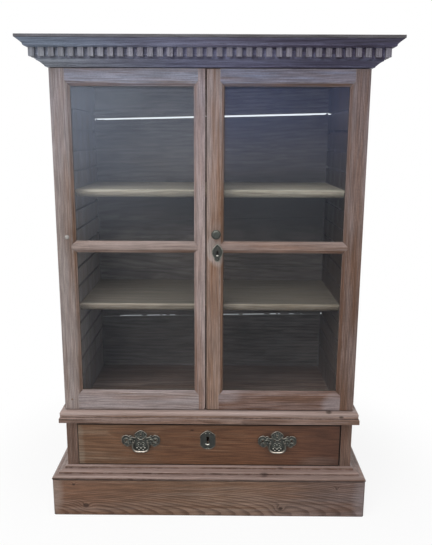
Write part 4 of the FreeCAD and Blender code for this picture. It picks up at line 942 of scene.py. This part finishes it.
def joint_foot(number):
    """Upper edge of the board under a joint, at the middle, and its slope."""
    half_gap = HALF_OPEN if number in OPEN_JOINTS else HALF_SHUT
    middle = BACK_FOOT + (FIRST_JOINT + number * JOINT_STEP) * BACK_HEIGHT
    return middle - half_gap, (FIRST_CLIMB + number * MORE_CLIMB) / BACK_WIDTH


def joint_waste(number, depth, gap, open_spans=(), hanging=False):
    """A ragged strip in a joint, lying on the lower board or hanging from the upper one.

    depth is its near and far side in y, gap how much of the joint it fills. Each open span is
    a left and a right end and the share of the strip that is left there.
    """
    edge, slope = joint_foot(number)
    if hanging:
        edge += 2 * HALF_OPEN
    vertices, faces = [], []
    near, far = depth
    for step in range(WASTE_STEPS + 1):
        x = WASTE_REACH * (2 * step / WASTE_STEPS - 1)
        shut = gap
        for low_x, high_x, left in open_spans:
            if low_x < x < high_x:
                shut = gap * left
        rough = 0.5 + 0.5 * math.sin(step * 2.399) * math.cos(step * 0.731)
        height = shut * (0.70 + 0.30 * rough)
        if hanging:
            height = -height
        foot = edge + slope * x
        near_rim, far_rim = foot + height, foot + height * 0.9
        vertices.extend(((x, near, foot), (x, near, near_rim), (x, far, far_rim), (x, far, foot)))
        if step:
            here = 4 * step
            there = here - 4
            for side in range(4):
                after = (side + 1) % 4
                faces.append((there + side, there + after, here + after, here + side))
    faces.append((0, 1, 2, 3))
    last = 4 * WASTE_STEPS
    faces.append((last + 3, last + 2, last + 1, last))
    # the strip's wood is darkened by its tones, as painted shade in the recess
    dusty = wood("back_boards", "x", "z", BACK, relief=0.3, tones=((0.62, 0.60, 0.62),))
    add_piece("joint_waste_%d" % number, (vertices, faces), dusty, "cabinet", smooth=False)


joint_waste(0, (0.2302, 0.2330), 0.0055, (
    (-0.340, -0.323, 0.40), (-0.323, -0.2583, 0.34), (-0.2398, -0.1898, 0.32), (-0.1824, -0.1676, 0.34),
    (-0.1546, -0.1317, 0.34), (0.020, 0.1054, 0.36), (0.1187, 0.198, 0.34), (0.2187, 0.242, 0.26),
    (0.2502, 0.2569, 0.28), (0.2891, 0.3083, 0.36), (0.3317, 0.338, 0.40),
), hanging=True)
for number in (1, 2, 3):
    joint_waste(number, (0.2330, 0.2385), 0.00078)
joint_waste(4, (0.2390, 0.2415), 0.0058, (
    (-0.4015, -0.378, 0.42), (-0.378, -0.250, 0.20), (-0.250, -0.031, 0.10), (-0.009, 0.350, 0.06),
    (0.350, 0.4005, 0.16),
))


# camera, floor and light

# the camera of the photograph: place, how far it looks down, to the left and leans, in radians
CAMERA_PLACE = (0.0304, -1.99056, 1.1845)
CAMERA_DOWN, CAMERA_TURN, CAMERA_ROLL = 0.213096, 0.005696, 0.004454
CAMERA_LENS, CAMERA_SENSOR = 40.827, 36.0

WHITE = (1, 1, 1)
SOFT_SKY = 0.26
FLOOR_HALF = 9.0


def add_camera():
    sin_down, cos_down = math.sin(CAMERA_DOWN), math.cos(CAMERA_DOWN)
    sin_turn, cos_turn = math.sin(CAMERA_TURN), math.cos(CAMERA_TURN)
    sin_roll, cos_roll = math.sin(CAMERA_ROLL), math.cos(CAMERA_ROLL)
    right = Vector((cos_turn, sin_turn, 0))
    ahead = Vector((-sin_turn * cos_down, cos_turn * cos_down, -sin_down))
    up = Vector((-sin_turn * sin_down, cos_turn * sin_down, cos_down))
    data = bpy.data.cameras.new("camera")
    data.sensor_fit = "VERTICAL"
    data.sensor_height = CAMERA_SENSOR
    data.lens = CAMERA_LENS
    camera = bpy.data.objects.new("camera", data)
    axes = Matrix((cos_roll * right + sin_roll * up, cos_roll * up - sin_roll * right, -ahead))
    camera.matrix_world = Matrix.Translation(CAMERA_PLACE) @ axes.transposed().to_4x4()
    bpy.context.scene.collection.objects.link(camera)
    bpy.context.scene.camera = camera


def add_lamp(name, place, target, size, power):
    data = bpy.data.lights.new(name, "AREA")
    data.size = size
    data.energy = power
    lamp = bpy.data.objects.new(name, data)
    lamp.location = place
    lamp.rotation_euler = (Vector(target) - Vector(place)).to_track_quat("-Z", "Y").to_euler()
    bpy.context.scene.collection.objects.link(lamp)


def add_world():
    """A weak white sky, seen at full white by the camera and in glass and metal."""
    world = bpy.data.worlds.new("world")
    bpy.context.scene.world = world
    t = Tree(world)
    path = t.add("LightPath").outputs
    seen = t.math("MAXIMUM", path["Is Camera Ray"], path["Is Transmission Ray"])
    seen = t.math("MAXIMUM", seen, path["Is Glossy Ray"])
    soft = t.put_all(t.add("Background"), WHITE, SOFT_SKY)
    white = t.put_all(t.add("Background"), WHITE, 1.0)
    t.finish(t.layer(seen, soft, white), "OutputWorld")


def add_floor():
    """A pale floor that keeps the cabinet's shadow and turns white further out."""
    mesh = bpy.data.meshes.new("floor")
    corners = [(x * FLOOR_HALF, y * FLOOR_HALF, 0) for x, y in ((-1, -1), (1, -1), (1, 1), (-1, 1))]
    mesh.from_pydata(corners, [], [(0, 1, 2, 3)])
    floor = bpy.data.objects.new("floor", mesh)
    bpy.context.scene.collection.objects.link(floor)
    t = material_tree("floor")
    far = t.add("VectorMath", operation="LENGTH")
    t.put(far, 0, t.place())
    matt = t.put_all(t.add("BsdfDiffuse"), (0.88, 0.88, 0.88))
    glow = t.put_all(t.add("Emission"), WHITE)
    path = t.add("LightPath").outputs
    seen = t.math("MAXIMUM", path["Is Camera Ray"], path["Is Glossy Ray"])
    amount = t.times(seen, t.step(far.outputs["Value"], 0.6, 1.1, 0.88, 1.0))
    mesh.materials.append(t.finish(t.layer(amount, matt, glow)))


add_camera()
add_world()
add_floor()
add_lamp("key", (-1.5, -3.4, 2.4), (0, -0.2, 0.75), 2.2, 54)
add_lamp("fill", (2.2, -2.6, 1.3), (0.1, -0.1, 0.7), 1.8, 8)
add_lamp("above", (-0.4, -1.0, 3.2), (0, -0.1, 0.7), 2.6, 70)

bpy.context.scene.view_settings.view_transform = "Standard"
